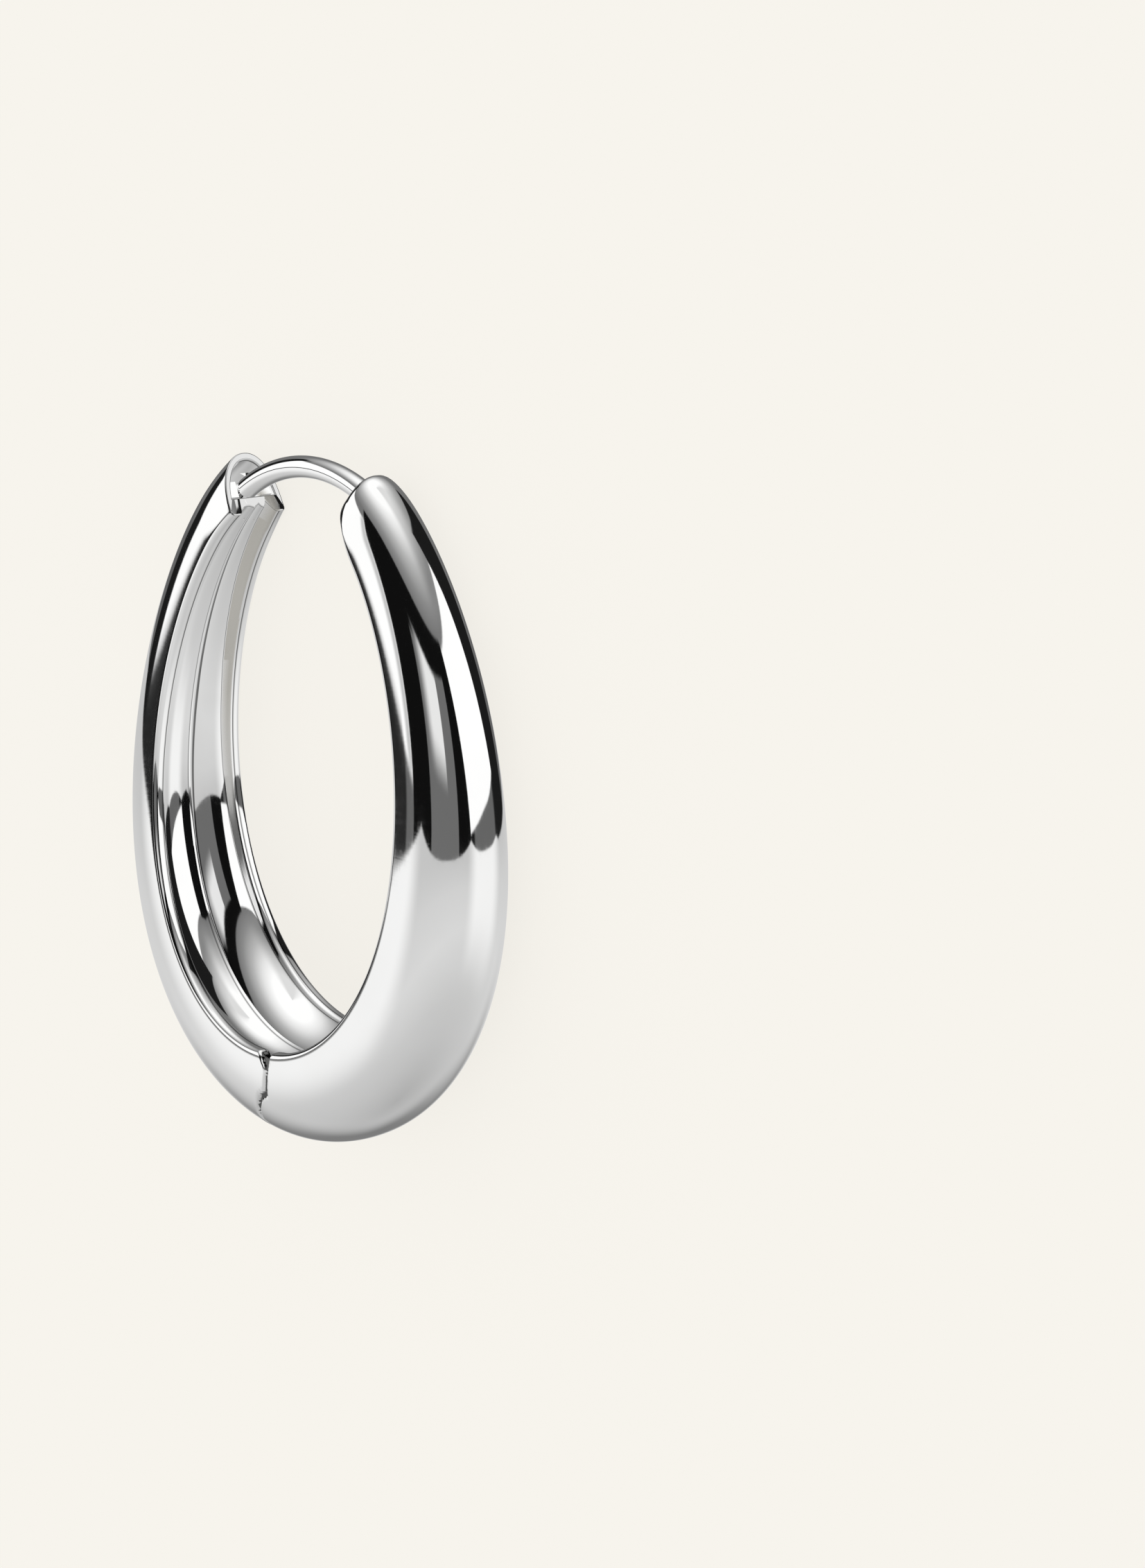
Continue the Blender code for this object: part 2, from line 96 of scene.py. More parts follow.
WALL_RUN = 0.257 * MM
WALL_RUN_GAIN = 0.10
FAR_LIP_WIDTH = 0.22 * MM
FAR_EDGE_ROUND = 0.30 * MM

# %% Both tips, and the cavity in the open one
BACK_TIP_ANGLE = math.radians(150.6)
FRONT_TIP_ANGLE = math.radians(153.9)
BACK_TIP_LEAN = math.radians(4.5)
FRONT_TIP_LEAN = math.radians(2.6)
TIP_LEAN_SPAN = math.radians(36.0)
TIP_TAPER = 0.10
TIP_TAPER_SPAN = math.radians(12.0)
TIP_LENGTH = 2.05 * MM
TIP_SIDE_ROUND = 0.42 * MM
TIP_CROWN_ROUND = 0.56 * MM
TIP_POWER = 3.6
TIP_LIP_ROUND = 0.80 * MM
TIP_LIP_POWER = 1.6
GROOVE_FADE = math.radians(14.0)
SHELL_WALL = 0.30 * MM
SHELL_EDGE_ROUND = 0.07 * MM
CAVITY_FLOOR = 0.53 * MM
BOWL_DEPTH = 2.1 * MM
BOWL_TURN = math.radians(86.4)
# painted shade over the open tip's rounded edge, and dark painted shade lines where that edge
# starts and ends
EDGE_SHADE = 0.6
EDGE_SHADE_LINE = 0.95

# %% The ear wire and its catch
WIRE_RADIUS = 0.475 * MM
WIRE_ARC_RADIUS = 8.0 * MM
WIRE_ROOT_OUT = 1.05 * MM
WIRE_MOUTH_OUT = 0.99 * MM
WIRE_ROOT_LENGTH = 1.20 * MM
WIRE_REACH = 0.90 * MM
WIRE_END_ROUND = 0.12 * MM
WIRE_CLEARANCE = 0.12 * MM
GROOVE_LENGTH = 0.32 * MM
GROOVE_DEPTH = 0.12 * MM
JAW_INSET = 0.25 * MM
JAW_THICKNESS = 0.35 * MM
JAW_LOW = 0.70 * MM
JAW_HIGH = 1.36 * MM

# %% The hinge at the bottom
PIN_RADIUS = 0.28 * MM
PIN_HALF_LENGTH = 1.25 * MM
BORE_CLEARANCE = 0.05 * MM
PIVOT_X = -0.25 * MM
PIVOT_WALL = 0.77 * MM
KNUCKLE_OVER = 0.03 * MM
TONGUE_INSET = 0.15 * MM
TONGUE_HALF_WIDTH = 0.70 * MM
NECK_HALF_HEIGHT = 0.38 * MM
SLOT_CLEARANCE = 0.08 * MM
SEAM_GAP = 0.12 * MM
SEAM_X = 0.58 * MM
SEAM_SLANT = 0.28 * MM
FRONT_NOTCH = 0.20 * MM
BACK_NOTCH = 0.38 * MM
NOTCH_DEPTH = 0.80 * MM
SHOULDER_RISE = 1.68 * MM
SHOULDER_RUN = 0.48 * MM
SHOULDER_DROP = 0.30 * MM
OPENING_ANGLE = math.radians(40.0)
PIVOT_Y = -(RIM_HALF_HEIGHT + DOME_HINGE - PIVOT_WALL)
KNUCKLE_RADIUS = PIVOT_WALL + KNUCKLE_OVER
TONGUE_RADIUS = PIVOT_WALL - TONGUE_INSET
REACH = 2.0 * (RIM_HALF_HEIGHT + DOME_HINGE)

# %% How finely each form is swept
DOME_STEPS = 88
ROUND_STEPS = 7
TROUGH_STEPS = 14
LIMB_STEPS = 160
SEAM_STEPS = 60
SEAM_RINGS_END = math.radians(10.0)
TIP_STEPS = 14
CAVITY_STEPS = 24
WIRE_STEPS = 90
WIRE_SIDES = 48
BORE_SIDES = 48
ARC_STEP = math.radians(3.0)

# %% [markdown]
# The band is wider at the hinge than at the top, so a hoop laid down leans a little and rests
# on its whole far rim. The lean follows from the two widths, and the hinge's place in the frame
# says where the drawing's own plane lies.

# %% From the flat drawing to the frame
lean = -math.atan2(0.5 * (WIDTH_HINGE - WIDTH_TOP), 2.0 * RIM_HALF_HEIGHT)
turn_to_frame = Matrix.Rotation(lean, 3, "X")
hinge_in_frame = Vector(frame["joints"][0]["pos_m"])
hoop_centre = hinge_in_frame - turn_to_frame @ Vector((PIVOT_X, PIVOT_Y, 0.0))
to_frame = Matrix.Translation(hoop_centre) @ turn_to_frame.to_4x4()
print("lean, degrees:", round(math.degrees(lean), 2))
print("oval's centre, mm:", [round(1000.0 * value, 3) for value in hoop_centre])


# %% [markdown]
# Everything along the band is counted by one angle, 0 at the hinge and growing up either limb.
# The rim line is an ellipse that is pulled a little wider below, like an egg.

# %% The rim line and the band along it
def rim_point(angle):
    """Point of the rim oval, positive angles on the front half."""
    cosine = math.cos(angle)
    x = RIM_HALF_WIDTH * math.sin(angle) * (1.0 + EGG_SHARE * cosine)
    return Vector((x, -RIM_HALF_HEIGHT * cosine))


def rim_tangent(angle):
    """Direction of the rim oval as the angle grows, not normalised."""
    dx = RIM_HALF_WIDTH * (math.cos(angle) + EGG_SHARE * math.cos(2.0 * angle))
    return Vector((dx, RIM_HALF_HEIGHT * math.sin(angle)))


def rim_normal(angle):
    """Outward direction across the rim oval."""
    tangent = rim_tangent(angle).normalized()
    return Vector((tangent.y, -tangent.x))


def band_width(angle):
    """Width of the band, which falls evenly with height."""
    middle = 0.5 * (WIDTH_HINGE + WIDTH_TOP)
    return middle + 0.5 * (WIDTH_HINGE - WIDTH_TOP) * math.cos(angle)


def dome_height(angle):
    """Height of the domed back above the rim line."""
    cosine = math.cos(angle)
    slope = 0.5 * (DOME_HINGE - DOME_TOP)
    bend = 0.5 * (DOME_HINGE + DOME_TOP) - DOME_SIDE
    return DOME_SIDE + slope * cosine + bend * cosine * cosine


def near_tip(angle, span):
    """Share that grows from 0 to 1 over the last span before either tip."""
    tip = FRONT_TIP_ANGLE if angle > 0.0 else BACK_TIP_ANGLE
    return min(max(1.0 - (tip - abs(angle)) / span, 0.0), 1.0)


def tip_lean(angle):
    """Extra angle of the crown, which leans each tip over the opening."""
    share = near_tip(angle, TIP_LEAN_SPAN)
    whole = FRONT_TIP_LEAN if angle > 0.0 else -BACK_TIP_LEAN
    return whole * share * share * (3.0 - 2.0 * share)


def band_point(angle, across, out):
    """Point along the band, across its width and out from its rim line."""
    leaned = angle + tip_lean(angle) * max(out, 0.0) / dome_height(angle)
    spot = rim_point(leaned) + rim_normal(leaned) * out
    taper = 1.0 - TIP_TAPER * near_tip(angle, TIP_TAPER_SPAN) ** 2
    return Vector((spot.x, spot.y, across * taper))


print("rim at its widest, mm:", round(2000.0 * rim_point(math.radians(90.0)).x, 2))


# %% [markdown]
# A section of the band is a smooth dome outside. Inside comes a rolled rim with a flat lip, then
# a hollow trough up to a thin middle ridge. Past the ridge the far side is different: a broad
# round rib rises to a narrow slit, and a slanted wall leads up to the far lip.

# %% Sections of the band
def spaced(first, last, count):
    """Evenly spaced values from the first to the last, both included."""
    return [first + (last - first) * step / count for step in range(count + 1)]


def dome_curve(half, height, floor):
    """Half of a dome from its crown down to the floor level, as (across, out) pairs."""
    power = 2.0 / DOME_POWER
    low = math.asin((floor / height) ** (1.0 / power))
    curve = []
    for turn in spaced(math.pi / 2.0, low, DOME_STEPS // 2):
        curve.append((half * abs(math.cos(turn)) ** power, height * math.sin(turn) ** power))
    curve[0] = (0.0, height)
    return curve


def near_rim_curve(half, groove):
    """Near rim's rolled side, its flat lip and the lip's round edge, as (across, out) pairs."""
    curve = []
    for turn in spaced(0.0, 0.5 * math.pi, ROUND_STEPS)[1:]:
        across = half - RIM_ROUND + RIM_ROUND * math.cos(turn)
        curve.append((across, -RIM_ROUND * math.sin(turn)))
    edge = half - RIM_ROUND - NEAR_LIP_WIDTH
    for turn in spaced(0.0, 0.5 * math.pi, ROUND_STEPS - 1):
        across = edge - LIP_EDGE_ROUND * math.sin(turn)
        depth = LIP_EDGE_ROUND * (1.0 - math.cos(turn)) * min(groove, 1.0)
        curve.append((across, LIP_LEVEL + depth))
    return curve


def trough_curve(half, groove):
    """Hollow trough on the near side, from the lip's edge to the middle ridge."""
    whole = REFERENCE_WIDTH / 2.0 - RIM_ROUND - NEAR_LIP_WIDTH - LIP_EDGE_ROUND
    share = (half - RIM_ROUND - NEAR_LIP_WIDTH - LIP_EDGE_ROUND) / whole
    curve = []
    for turn in spaced(TROUGH_FIRST, TROUGH_LAST, TROUGH_STEPS):
        across = share * (TROUGH_MIDDLE + TROUGH_RADIUS * math.sin(turn))
        depth = share * (TROUGH_DEPTH - TROUGH_RADIUS * (1.0 - math.cos(turn)))
        curve.append((across, LIP_LEVEL + depth * groove))
    return curve


def rib_curve(half, groove):
    """Far side from the ridge: a foot, the broad rib, a slit, the far wall and the far lip."""
    scale = 2.0 * half / REFERENCE_WIDTH
    edge = half - RIM_ROUND - FAR_LIP_WIDTH
    wall_top = edge - FAR_EDGE_ROUND * math.sin(WALL_TILT)
    wall_run = WALL_RUN + WALL_RUN_GAIN * (REFERENCE_WIDTH - 2.0 * half)
    wall_foot = wall_top - wall_run
    crown = wall_foot - SLIT_WIDTH - RIB_EDGE_ROUND
    start = scale * RIB_START
    radius = (crown - start) / (math.sin(RIB_FIRST) - math.sin(RIB_LAST))
    rise = radius * (math.cos(RIB_LAST) - math.cos(RIB_FIRST))
    ridge = scale * RIDGE_DEPTH
    foot = max(ridge + scale * FOOT_DROP, RIB_CROWN_DEPTH + rise)
    crest = -scale * RIDGE_ACROSS
    points = [
        (crest, ridge),
        (crest + RIDGE_ROUND, ridge + RIDGE_FALL * RIDGE_ROUND),
        (0.5 * (crest + RIDGE_ROUND + start), 0.5 * (ridge + foot)),
        (start - scale * FOOT_LENGTH, foot - scale * FOOT_RISE),
    ]
    for turn in spaced(RIB_FIRST, RIB_LAST, TROUGH_STEPS):
        across = start + radius * (math.sin(RIB_FIRST) - math.sin(turn))
        points.append((across, foot - radius * (math.cos(turn) - math.cos(RIB_FIRST))))
    crown_depth = foot - rise
    for turn in spaced(-RIB_LAST, 0.5 * math.pi, ROUND_STEPS)[1:]:
        depth = crown_depth + RIB_EDGE_ROUND * (math.cos(RIB_LAST) - math.cos(turn))
        points.append((crown + RIB_EDGE_ROUND * (math.sin(turn) + math.sin(RIB_LAST)), depth))
    wall_top_depth = FAR_EDGE_ROUND * (1.0 - math.cos(WALL_TILT))
    wall_depth = max(wall_top_depth + wall_run * math.tan(WALL_TILT), points[-1][1] + SLIT_WIDTH)
    points += [(wall_foot - SLIT_FLOOR * SLIT_WIDTH, wall_depth), (wall_foot, wall_depth)]
    for turn in spaced(WALL_TILT, 0.0, ROUND_STEPS):
        across = edge - FAR_EDGE_ROUND * math.sin(turn)
        points.append((across, FAR_EDGE_ROUND * (1.0 - math.cos(turn))))
    curve = [(-across, LIP_LEVEL + depth * groove) for across, depth in points]
    for turn in spaced(0.5 * math.pi, 0.0, ROUND_STEPS)[:-1]:
        across = half - RIM_ROUND + RIM_ROUND * math.cos(turn)
        curve.append((-across, -RIM_ROUND * math.sin(turn)))
    return curve


def band_section(angle, groove=1.0):
    """Closed section of the band: dome, rims, lips and the ribbed inner face."""
    half = 0.5 * band_width(angle)
    dome = dome_curve(half, dome_height(angle), 0.0)
    inner = near_rim_curve(half, groove) + trough_curve(half, groove) + rib_curve(half, groove)
    return dome + inner + [(-across, out) for across, out in reversed(dome[1:])]


def section_shade_lines():
    """How dark a painted shade line each point of a section carries, in the section's own order."""
    dome_plain = DOME_STEPS // 2
    lines = (
        # plain points before the line, how dark the line is
        (dome_plain, 0.9), (ROUND_STEPS, 0.9), (ROUND_STEPS - 2, 0.8),
        # both sides of the trough, the foot of the ridge
        (0, 0.8), (TROUGH_STEPS - 1, 0.8), (2, 0.9), (0, 1.0), (0, 1.0),
        # the rib's crown, the slit, the far lip and the far side
        (TROUGH_STEPS - 1, 0.8), (0, 0.7), (ROUND_STEPS - 1, 1.0),
        (ROUND_STEPS + 1, 0.9), (ROUND_STEPS, 0.8),
    )
    marks = []
    for plain, dark in lines:
        marks += [0.0] * plain + [dark]
    return marks + [0.0] * (dome_plain - 1)


def drawn_in(section, angle, across_inset, crown_inset, lip_inset):
    """Section pulled in towards its own middle at its sides, its crown and its lips."""
    middle = 0.5 * (dome_height(angle) + LIP_LEVEL)
    across_share = 1.0 - across_inset / (0.5 * band_width(angle))
    crown_share = 1.0 - crown_inset / (middle - LIP_LEVEL)
    lip_share = 1.0 - lip_inset / (middle - LIP_LEVEL)
    pulled = []
    for across, out in section:
        share = crown_share if out > middle else lip_share
        pulled.append((across * across_share, middle + (out - middle) * share))
    return pulled


def quarter_round(along, power):
    """Inset from 0 to 1 of a rounded end, at a share of its length."""
    return 1.0 - (1.0 - along ** power) ** (1.0 / power)


def cavity_section(angle, wall, share=1.0):
    """Closed section of the cavity, with as many points as the band's own section."""
    half = 0.5 * band_width(angle) - wall
    top = dome_height(angle) - wall
    floor = CAVITY_FLOOR - SHELL_WALL + wall
    dome = dome_curve(half, top, floor)
    corner = dome[-1][0]
    count = len(band_section(angle)) - 2 * len(dome) + 2
    level = [(corner * (1.0 - 2.0 * step / count), floor) for step in range(1, count)]
    middle = 0.5 * (top + floor)
    whole = dome + level + [(-across, out) for across, out in reversed(dome[1:])]
    return [(across * share, middle + (out - middle) * share) for across, out in whole]


print("points round a section:", len(band_section(0.0)))


# %% [markdown]
# Each half is a face on its first section, extruded ring after ring, the way a press form
# follows its rail. The last face stays as the cap, so the mesh is closed without any stitching.

# %% Sweep, prism and rod helpers
def finished(name, shape):
    """Object with the mesh of a bmesh, its faces turned outward."""
    bmesh.ops.recalc_face_normals(shape, faces=shape.faces)
    mesh = bpy.data.meshes.new(name)
    shape.to_mesh(mesh)
    shape.free()
    piece = bpy.data.objects.new(name, mesh)
    bpy.context.scene.collection.objects.link(piece)
    return piece


def swept(name, rings):
    """Solid that starts as a face on the first ring and is extruded through the others."""
    shape = bmesh.new()
    face = shape.faces.new([shape.verts.new(point) for point in rings[0]])
    for ring in rings[1:]:
        whole_face = [face, *face.edges, *face.verts]
        grown = bmesh.ops.extrude_face_region(shape, geom=whole_face)["geom"]
        face = next(item for item in grown if isinstance(item, bmesh.types.BMFace))
        for vert, point in zip(face.verts, ring):
            vert.co = point
    return finished(name, shape)


def prism(name, outline, half_length):
    """Prism of an outline in the hoop's plane, both ways across it."""
    shape = bmesh.new()
    face = shape.faces.new([shape.verts.new((x, y, -half_length)) for x, y in outline])
    grown = bmesh.ops.extrude_face_region(shape, geom=[face])
    verts = [item for item in grown["geom"] if isinstance(item, bmesh.types.BMVert)]
    bmesh.ops.translate(shape, verts=verts, vec=(0.0, 0.0, 2.0 * half_length))
    return finished(name, shape)


def rod(name, radius, half_length):
    """Round rod on the hinge's axis."""
    shape = bmesh.new()
    bmesh.ops.create_cone(
        shape, cap_ends=True, segments=BORE_SIDES, radius1=radius, radius2=radius,
        depth=2.0 * half_length, matrix=Matrix.Translation((PIVOT_X, PIVOT_Y, 0.0)))
    return finished(name, shape)


def paint_gap_shade(tool):
    """Give a tool's faces the second, dark finish: painted shade for what lies inside a joint."""
    for face in tool.data.polygons:
        face.material_index = 1


def cut_or_join(target, operation, tool):
    """Join or cut the target with a tool, which is used up. Cut faces get the dark finish of
    painted shade.
    """
    if operation == "DIFFERENCE":
        paint_gap_shade(tool)
    step = target.modifiers.new(operation, "BOOLEAN")
    step.operation = operation
    step.solver = "EXACT"
    step.object = tool
    depsgraph = bpy.context.evaluated_depsgraph_get()
    result = bpy.data.meshes.new_from_object(target.evaluated_get(depsgraph))
    target.modifiers.clear()
    target.data = result
    bpy.data.objects.remove(tool, do_unlink=True)


# %% [markdown]
# The ear wire is one arc. It starts inside the closed tip, where it is soldered in, and its
# free end goes into the open tip. Near that end a ring is turned into it, which the two jaws
# of the catch grip.

# %% The ear wire
wire_root = band_point(FRONT_TIP_ANGLE, 0.0, WIRE_ROOT_OUT).xy
wire_mouth = band_point(-BACK_TIP_ANGLE, 0.0, WIRE_MOUTH_OUT).xy
wire_chord = wire_root - wire_mouth
wire_drop = math.sqrt(WIRE_ARC_RADIUS ** 2 - 0.25 * wire_chord.length_squared)
wire_below = Vector((wire_chord.y, -wire_chord.x)).normalized()
wire_centre = 0.5 * (wire_root + wire_mouth) + wire_below * wire_drop


def wire_turn(spot):
    """Angle of a point about the arc's centre, with 0 at the crown."""
    offset = spot - wire_centre
    return math.atan2(offset.x, offset.y)


def wire_point(angle):
    """Point of the ear wire's middle line."""
    return wire_centre + WIRE_ARC_RADIUS * Vector((math.sin(angle), math.cos(angle)))


wire_end = wire_turn(wire_mouth) - WIRE_REACH / WIRE_ARC_RADIUS
print("ear wire's span, mm:", round(1000.0 * wire_chord.length, 2))


def wire_ring(angle, radius):
    """Ring of points round the wire at a place on its arc."""
    outward = Vector((math.sin(angle), math.cos(angle)))
    ring = []
    for turn in spaced(0.0, 2.0 * math.pi, WIRE_SIDES)[:-1]:
        spot = wire_point(angle) + outward * radius * math.cos(turn)
        ring.append(Vector((spot.x, spot.y, radius * math.sin(turn))))
    return ring


def ear_wire():
    """Round wire along its arc, with a ring groove near its rounded end."""
    first = wire_turn(wire_root) + WIRE_ROOT_LENGTH / WIRE_ARC_RADIUS
    jaw_middle = JAW_INSET + 0.5 * JAW_THICKNESS
    groove_start = wire_turn(wire_mouth) - (jaw_middle - 0.5 * GROOVE_LENGTH) / WIRE_ARC_RADIUS
    groove_turn = GROOVE_LENGTH / WIRE_ARC_RADIUS
    slope_turn = GROOVE_DEPTH / WIRE_ARC_RADIUS
    round_turn = WIRE_END_ROUND / WIRE_ARC_RADIUS
    last = wire_end + round_turn
    rings = []
    for angle in spaced(first, groove_start, WIRE_STEPS):
        rings.append(wire_ring(angle, WIRE_RADIUS))
    rings.append(wire_ring(groove_start - slope_turn, WIRE_RADIUS - GROOVE_DEPTH))
    rings.append(wire_ring(groove_start - groove_turn + slope_turn, WIRE_RADIUS - GROOVE_DEPTH))
    rings.append(wire_ring(groove_start - groove_turn, WIRE_RADIUS))
    for turn in spaced(0.0, 0.5 * math.pi, ROUND_STEPS):
        inset = WIRE_END_ROUND * (1.0 - math.cos(turn))
        rings.append(wire_ring(last - round_turn * math.sin(turn), WIRE_RADIUS - inset))
    return swept("ear_wire", rings)


def way_out_cutter():
    """Round-bottomed way along which the wire's end swings out past the jaws."""
    tip = wire_point(wire_end)
    arm = tip - Vector((PIVOT_X, PIVOT_Y))
    heading = Vector((arm.y, -arm.x)).normalized()
    rise = Vector((-heading.y, heading.x))
    radius = WIRE_RADIUS + WIRE_CLEARANCE
    profile = [(radius, 2.0 * WIRE_RADIUS), (-radius, 2.0 * WIRE_RADIUS)]
    for turn in spaced(math.pi, 2.0 * math.pi, BORE_SIDES // 2):
        profile.append((radius * math.cos(turn), radius * math.sin(turn)))
    rings = []
    for along in (-2.0 * WIRE_CLEARANCE, WIDTH_TOP):
        base = tip + heading * along
        places = [(base + rise * up, across) for across, up in profile]
        rings.append([Vector((place.x, place.y, across)) for place, across in places])
    return swept("way_out_cutter", rings)


def catch_jaws():
    """Block across the cavity's mouth, which the way out then splits into two jaws."""
    rate = rim_tangent(BACK_TIP_ANGLE).length
    outer = JAW_INSET / rate - BACK_TIP_ANGLE
    inner = outer + JAW_THICKNESS / rate
    corners = [(outer, JAW_LOW), (outer, JAW_HIGH), (inner, JAW_HIGH), (inner, JAW_LOW)]
    outline = [band_point(angle, 0.0, out).xy for angle, out in corners]
    jaws = prism("catch_jaws", outline, 0.5 * band_width(BACK_TIP_ANGLE) - 1.5 * SHELL_WALL)
    # the jaws wear the dark finish too, painted shade deep in the open tip
    paint_gap_shade(jaws)
    return jaws


# %% [markdown]
# The seam between the halves runs from the lips straight down, jogs round a shoulder and then
# follows the round knuckle to the outside. Both halves are cut with the same outline, one of
# them a gap further back, so the hinge closes without rubbing.

# %% The seam and the hinge
def turned(point, turn):
    """Point about the pin, turned round it and placed in the hoop's plane."""
    spot = Matrix.Rotation(turn, 2) @ Vector(point)
    return (PIVOT_X + spot.x, PIVOT_Y + spot.y)


def seam_outline(gap, notch, last_turn):
    """Seam between the halves, from the lips down round the knuckle to the outer wall."""
    face_x = SEAM_X - gap
    low_x = face_x - SEAM_SLANT
    lip_y = -RIM_HALF_HEIGHT - LIP_LEVEL
    shoulder_y = PIVOT_Y + SHOULDER_RISE + gap
    jog = Vector((low_x - SHOULDER_RUN, shoulder_y - SHOULDER_DROP))
    radius = KNUCKLE_RADIUS + gap
    offset = jog - Vector((PIVOT_X, PIVOT_Y))
    jog_turn = math.atan2(offset.y, offset.x)
    first_turn = jog_turn + math.acos(radius / offset.length)
    outline = [
        (face_x + 2.0 * notch, lip_y + NOTCH_DEPTH),
        (face_x, lip_y - NOTCH_DEPTH),
        (low_x, shoulder_y),
        (jog.x, jog.y),
    ]
    steps = math.ceil((last_turn - first_turn) / ARC_STEP)
    outline += [turned((radius, 0.0), turn) for turn in spaced(first_turn, last_turn, steps)]
    outline.append(turned((REACH, 0.0), last_turn))
    return outline


def end_cutter(name, outline, far):
    """Everything past the seam, out to a far place on the other half's side."""
    return prism(name, outline + [(far, -REACH), (far, outline[0][1])], WIDTH_HINGE)


def neck_outline(half_height, far):
    """Corners of the tongue's neck about the pin, reaching from the pin into the back half."""
    return [(0.0, half_height), (-far, half_height), (-far, -half_height), (0.0, -half_height)]


def slot_cutter():
    """Room in the front half for the neck in every position of the hinge."""
    corners = neck_outline(NECK_HALF_HEIGHT + SEAM_GAP, REACH)
    turns = (0.0, 0.0, OPENING_ANGLE, OPENING_ANGLE)
    outline = [turned(corner, turn) for corner, turn in zip(corners, turns)]
    half_width = TONGUE_HALF_WIDTH + SLOT_CLEARANCE
    cutter = prism("slot_cutter", outline, half_width)
    cut_or_join(cutter, "UNION", rod("tongue_room", TONGUE_RADIUS + SEAM_GAP, half_width))
    return cutter


def tongue():
    """Middle knuckle of the back half, a round eye on a neck."""
    far = KNUCKLE_RADIUS + 2.0 * SEAM_GAP
    outline = [turned(corner, 0.0) for corner in neck_outline(NECK_HALF_HEIGHT, far)]
    neck = prism("neck", outline, TONGUE_HALF_WIDTH)
    cut_or_join(neck, "UNION", rod("eye", TONGUE_RADIUS, TONGUE_HALF_WIDTH))
    return neck


def bore_cutter():
    """Bore that the hinge pin turns in."""
    return rod("bore_cutter", PIN_RADIUS + BORE_CLEARANCE, PIN_HALF_LENGTH + BORE_CLEARANCE)


# %% [markdown]
# Now the two halves. The front one closes in a round tip, which is a few last sections drawn in,
# early at the lips and late at the crown and the sides. The back one stays open: its edge is
# rounded over the thin wall, and the sections then turn back inside and close in a smooth bowl.

# %% Painted shade lines along the rings
def shade_line_tree(rings, marks):
    """Search tree of all ring points, and how dark a painted shade line each one carries."""
    points = [point for ring in rings for point in ring]
    tree = KDTree(len(points))
    for index, point in enumerate(points):
        tree.insert(point, index)
    tree.balance()
    return tree, marks


# %% The front half
def ring_of(angle, section):
    """Ring of points of a section, at its place along the band."""
    return [band_point(angle, across, out) for across, out in section]


def limb_rings(first, last, groove):
    """Rings of the band from one angle to another, close together near the seam."""
    seam_end = math.copysign(SEAM_RINGS_END, last)
    angles = spaced(first, seam_end, SEAM_STEPS)[:-1] + spaced(seam_end, last, LIMB_STEPS)
    return [ring_of(angle, band_section(angle, groove(angle))) for angle in angles]


def groove_share(angle):
    """How deep the grooves are on the front half, which fade out before the closed tip."""
    return 1.0 - near_tip(angle, GROOVE_FADE)


def front_half():
    """Front half with its closed round tip, hinge knuckles and the soldered ear wire."""
    round_turn = TIP_LENGTH / rim_tangent(FRONT_TIP_ANGLE).length
    start = -(KNUCKLE_RADIUS - PIVOT_X + SEAM_X) / RIM_HALF_WIDTH
    last = FRONT_TIP_ANGLE - round_turn
    rings = limb_rings(start, last, groove_share)
    for turn in spaced(0.0, 0.5 * math.pi, TIP_STEPS)[1:]:
        along = math.sin(turn)
        angle = last + round_turn * along
        inset = quarter_round(along, TIP_POWER)
        lip_inset = TIP_LIP_ROUND * quarter_round(along, TIP_LIP_POWER)
        insets = (TIP_SIDE_ROUND * inset, TIP_CROWN_ROUND * inset, lip_inset)
        section = band_section(angle, groove_share(angle))
        rings.append(ring_of(angle, drawn_in(section, angle, *insets)))
    marks = section_shade_lines() * len(rings)
    half = swept("front_shell", rings)
    band = BVHTree.FromObject(half, bpy.context.evaluated_depsgraph_get())
    end_turn = 1.5 * math.pi + math.acos(min(PIVOT_WALL / KNUCKLE_RADIUS, 1.0))
    end = end_cutter("front_end_cutter", seam_outline(0.0, FRONT_NOTCH, end_turn), -REACH)
    for cutter in (end, slot_cutter(), bore_cutter()):
        cut_or_join(half, "DIFFERENCE", cutter)
    cut_or_join(half, "UNION", ear_wire())
    return half, band, shade_line_tree(rings, marks)


front_shell, front_band, front_shade_lines = front_half()
print("front shell faces:", len(front_shell.data.polygons))


# %% [markdown]
# The two halves don't meet in a knife edge. The caster's file has broken every edge along the
# seam, most of all on the back half, and that is what catches the light there. The vertices of
# the band's surface that lie near the seam sink along a quarter round.

# %% Rounded edges along the seam
FRONT_SEAM_ROUND = 0.05 * MM
BACK_SEAM_ROUND = 0.20 * MM
ON_SURFACE = 0.004 * MM
SEAM_LINE = 0.045 * MM
SEAM_TOP = -0.9 * RIM_HALF_HEIGHT


def distance_to_line(spot, outline):
    """Shortest distance from a spot in the hoop's plane to a line of corners."""
    nearest = REACH
    for start, end in zip(outline, outline[1:]):
        along = Vector(end) - Vector(start)
        share = min(max((spot - Vector(start)).dot(along) / along.length_squared, 0.0), 1.0)
        nearest = min(nearest, (Vector(start) + along * share - spot).length)
    return nearest


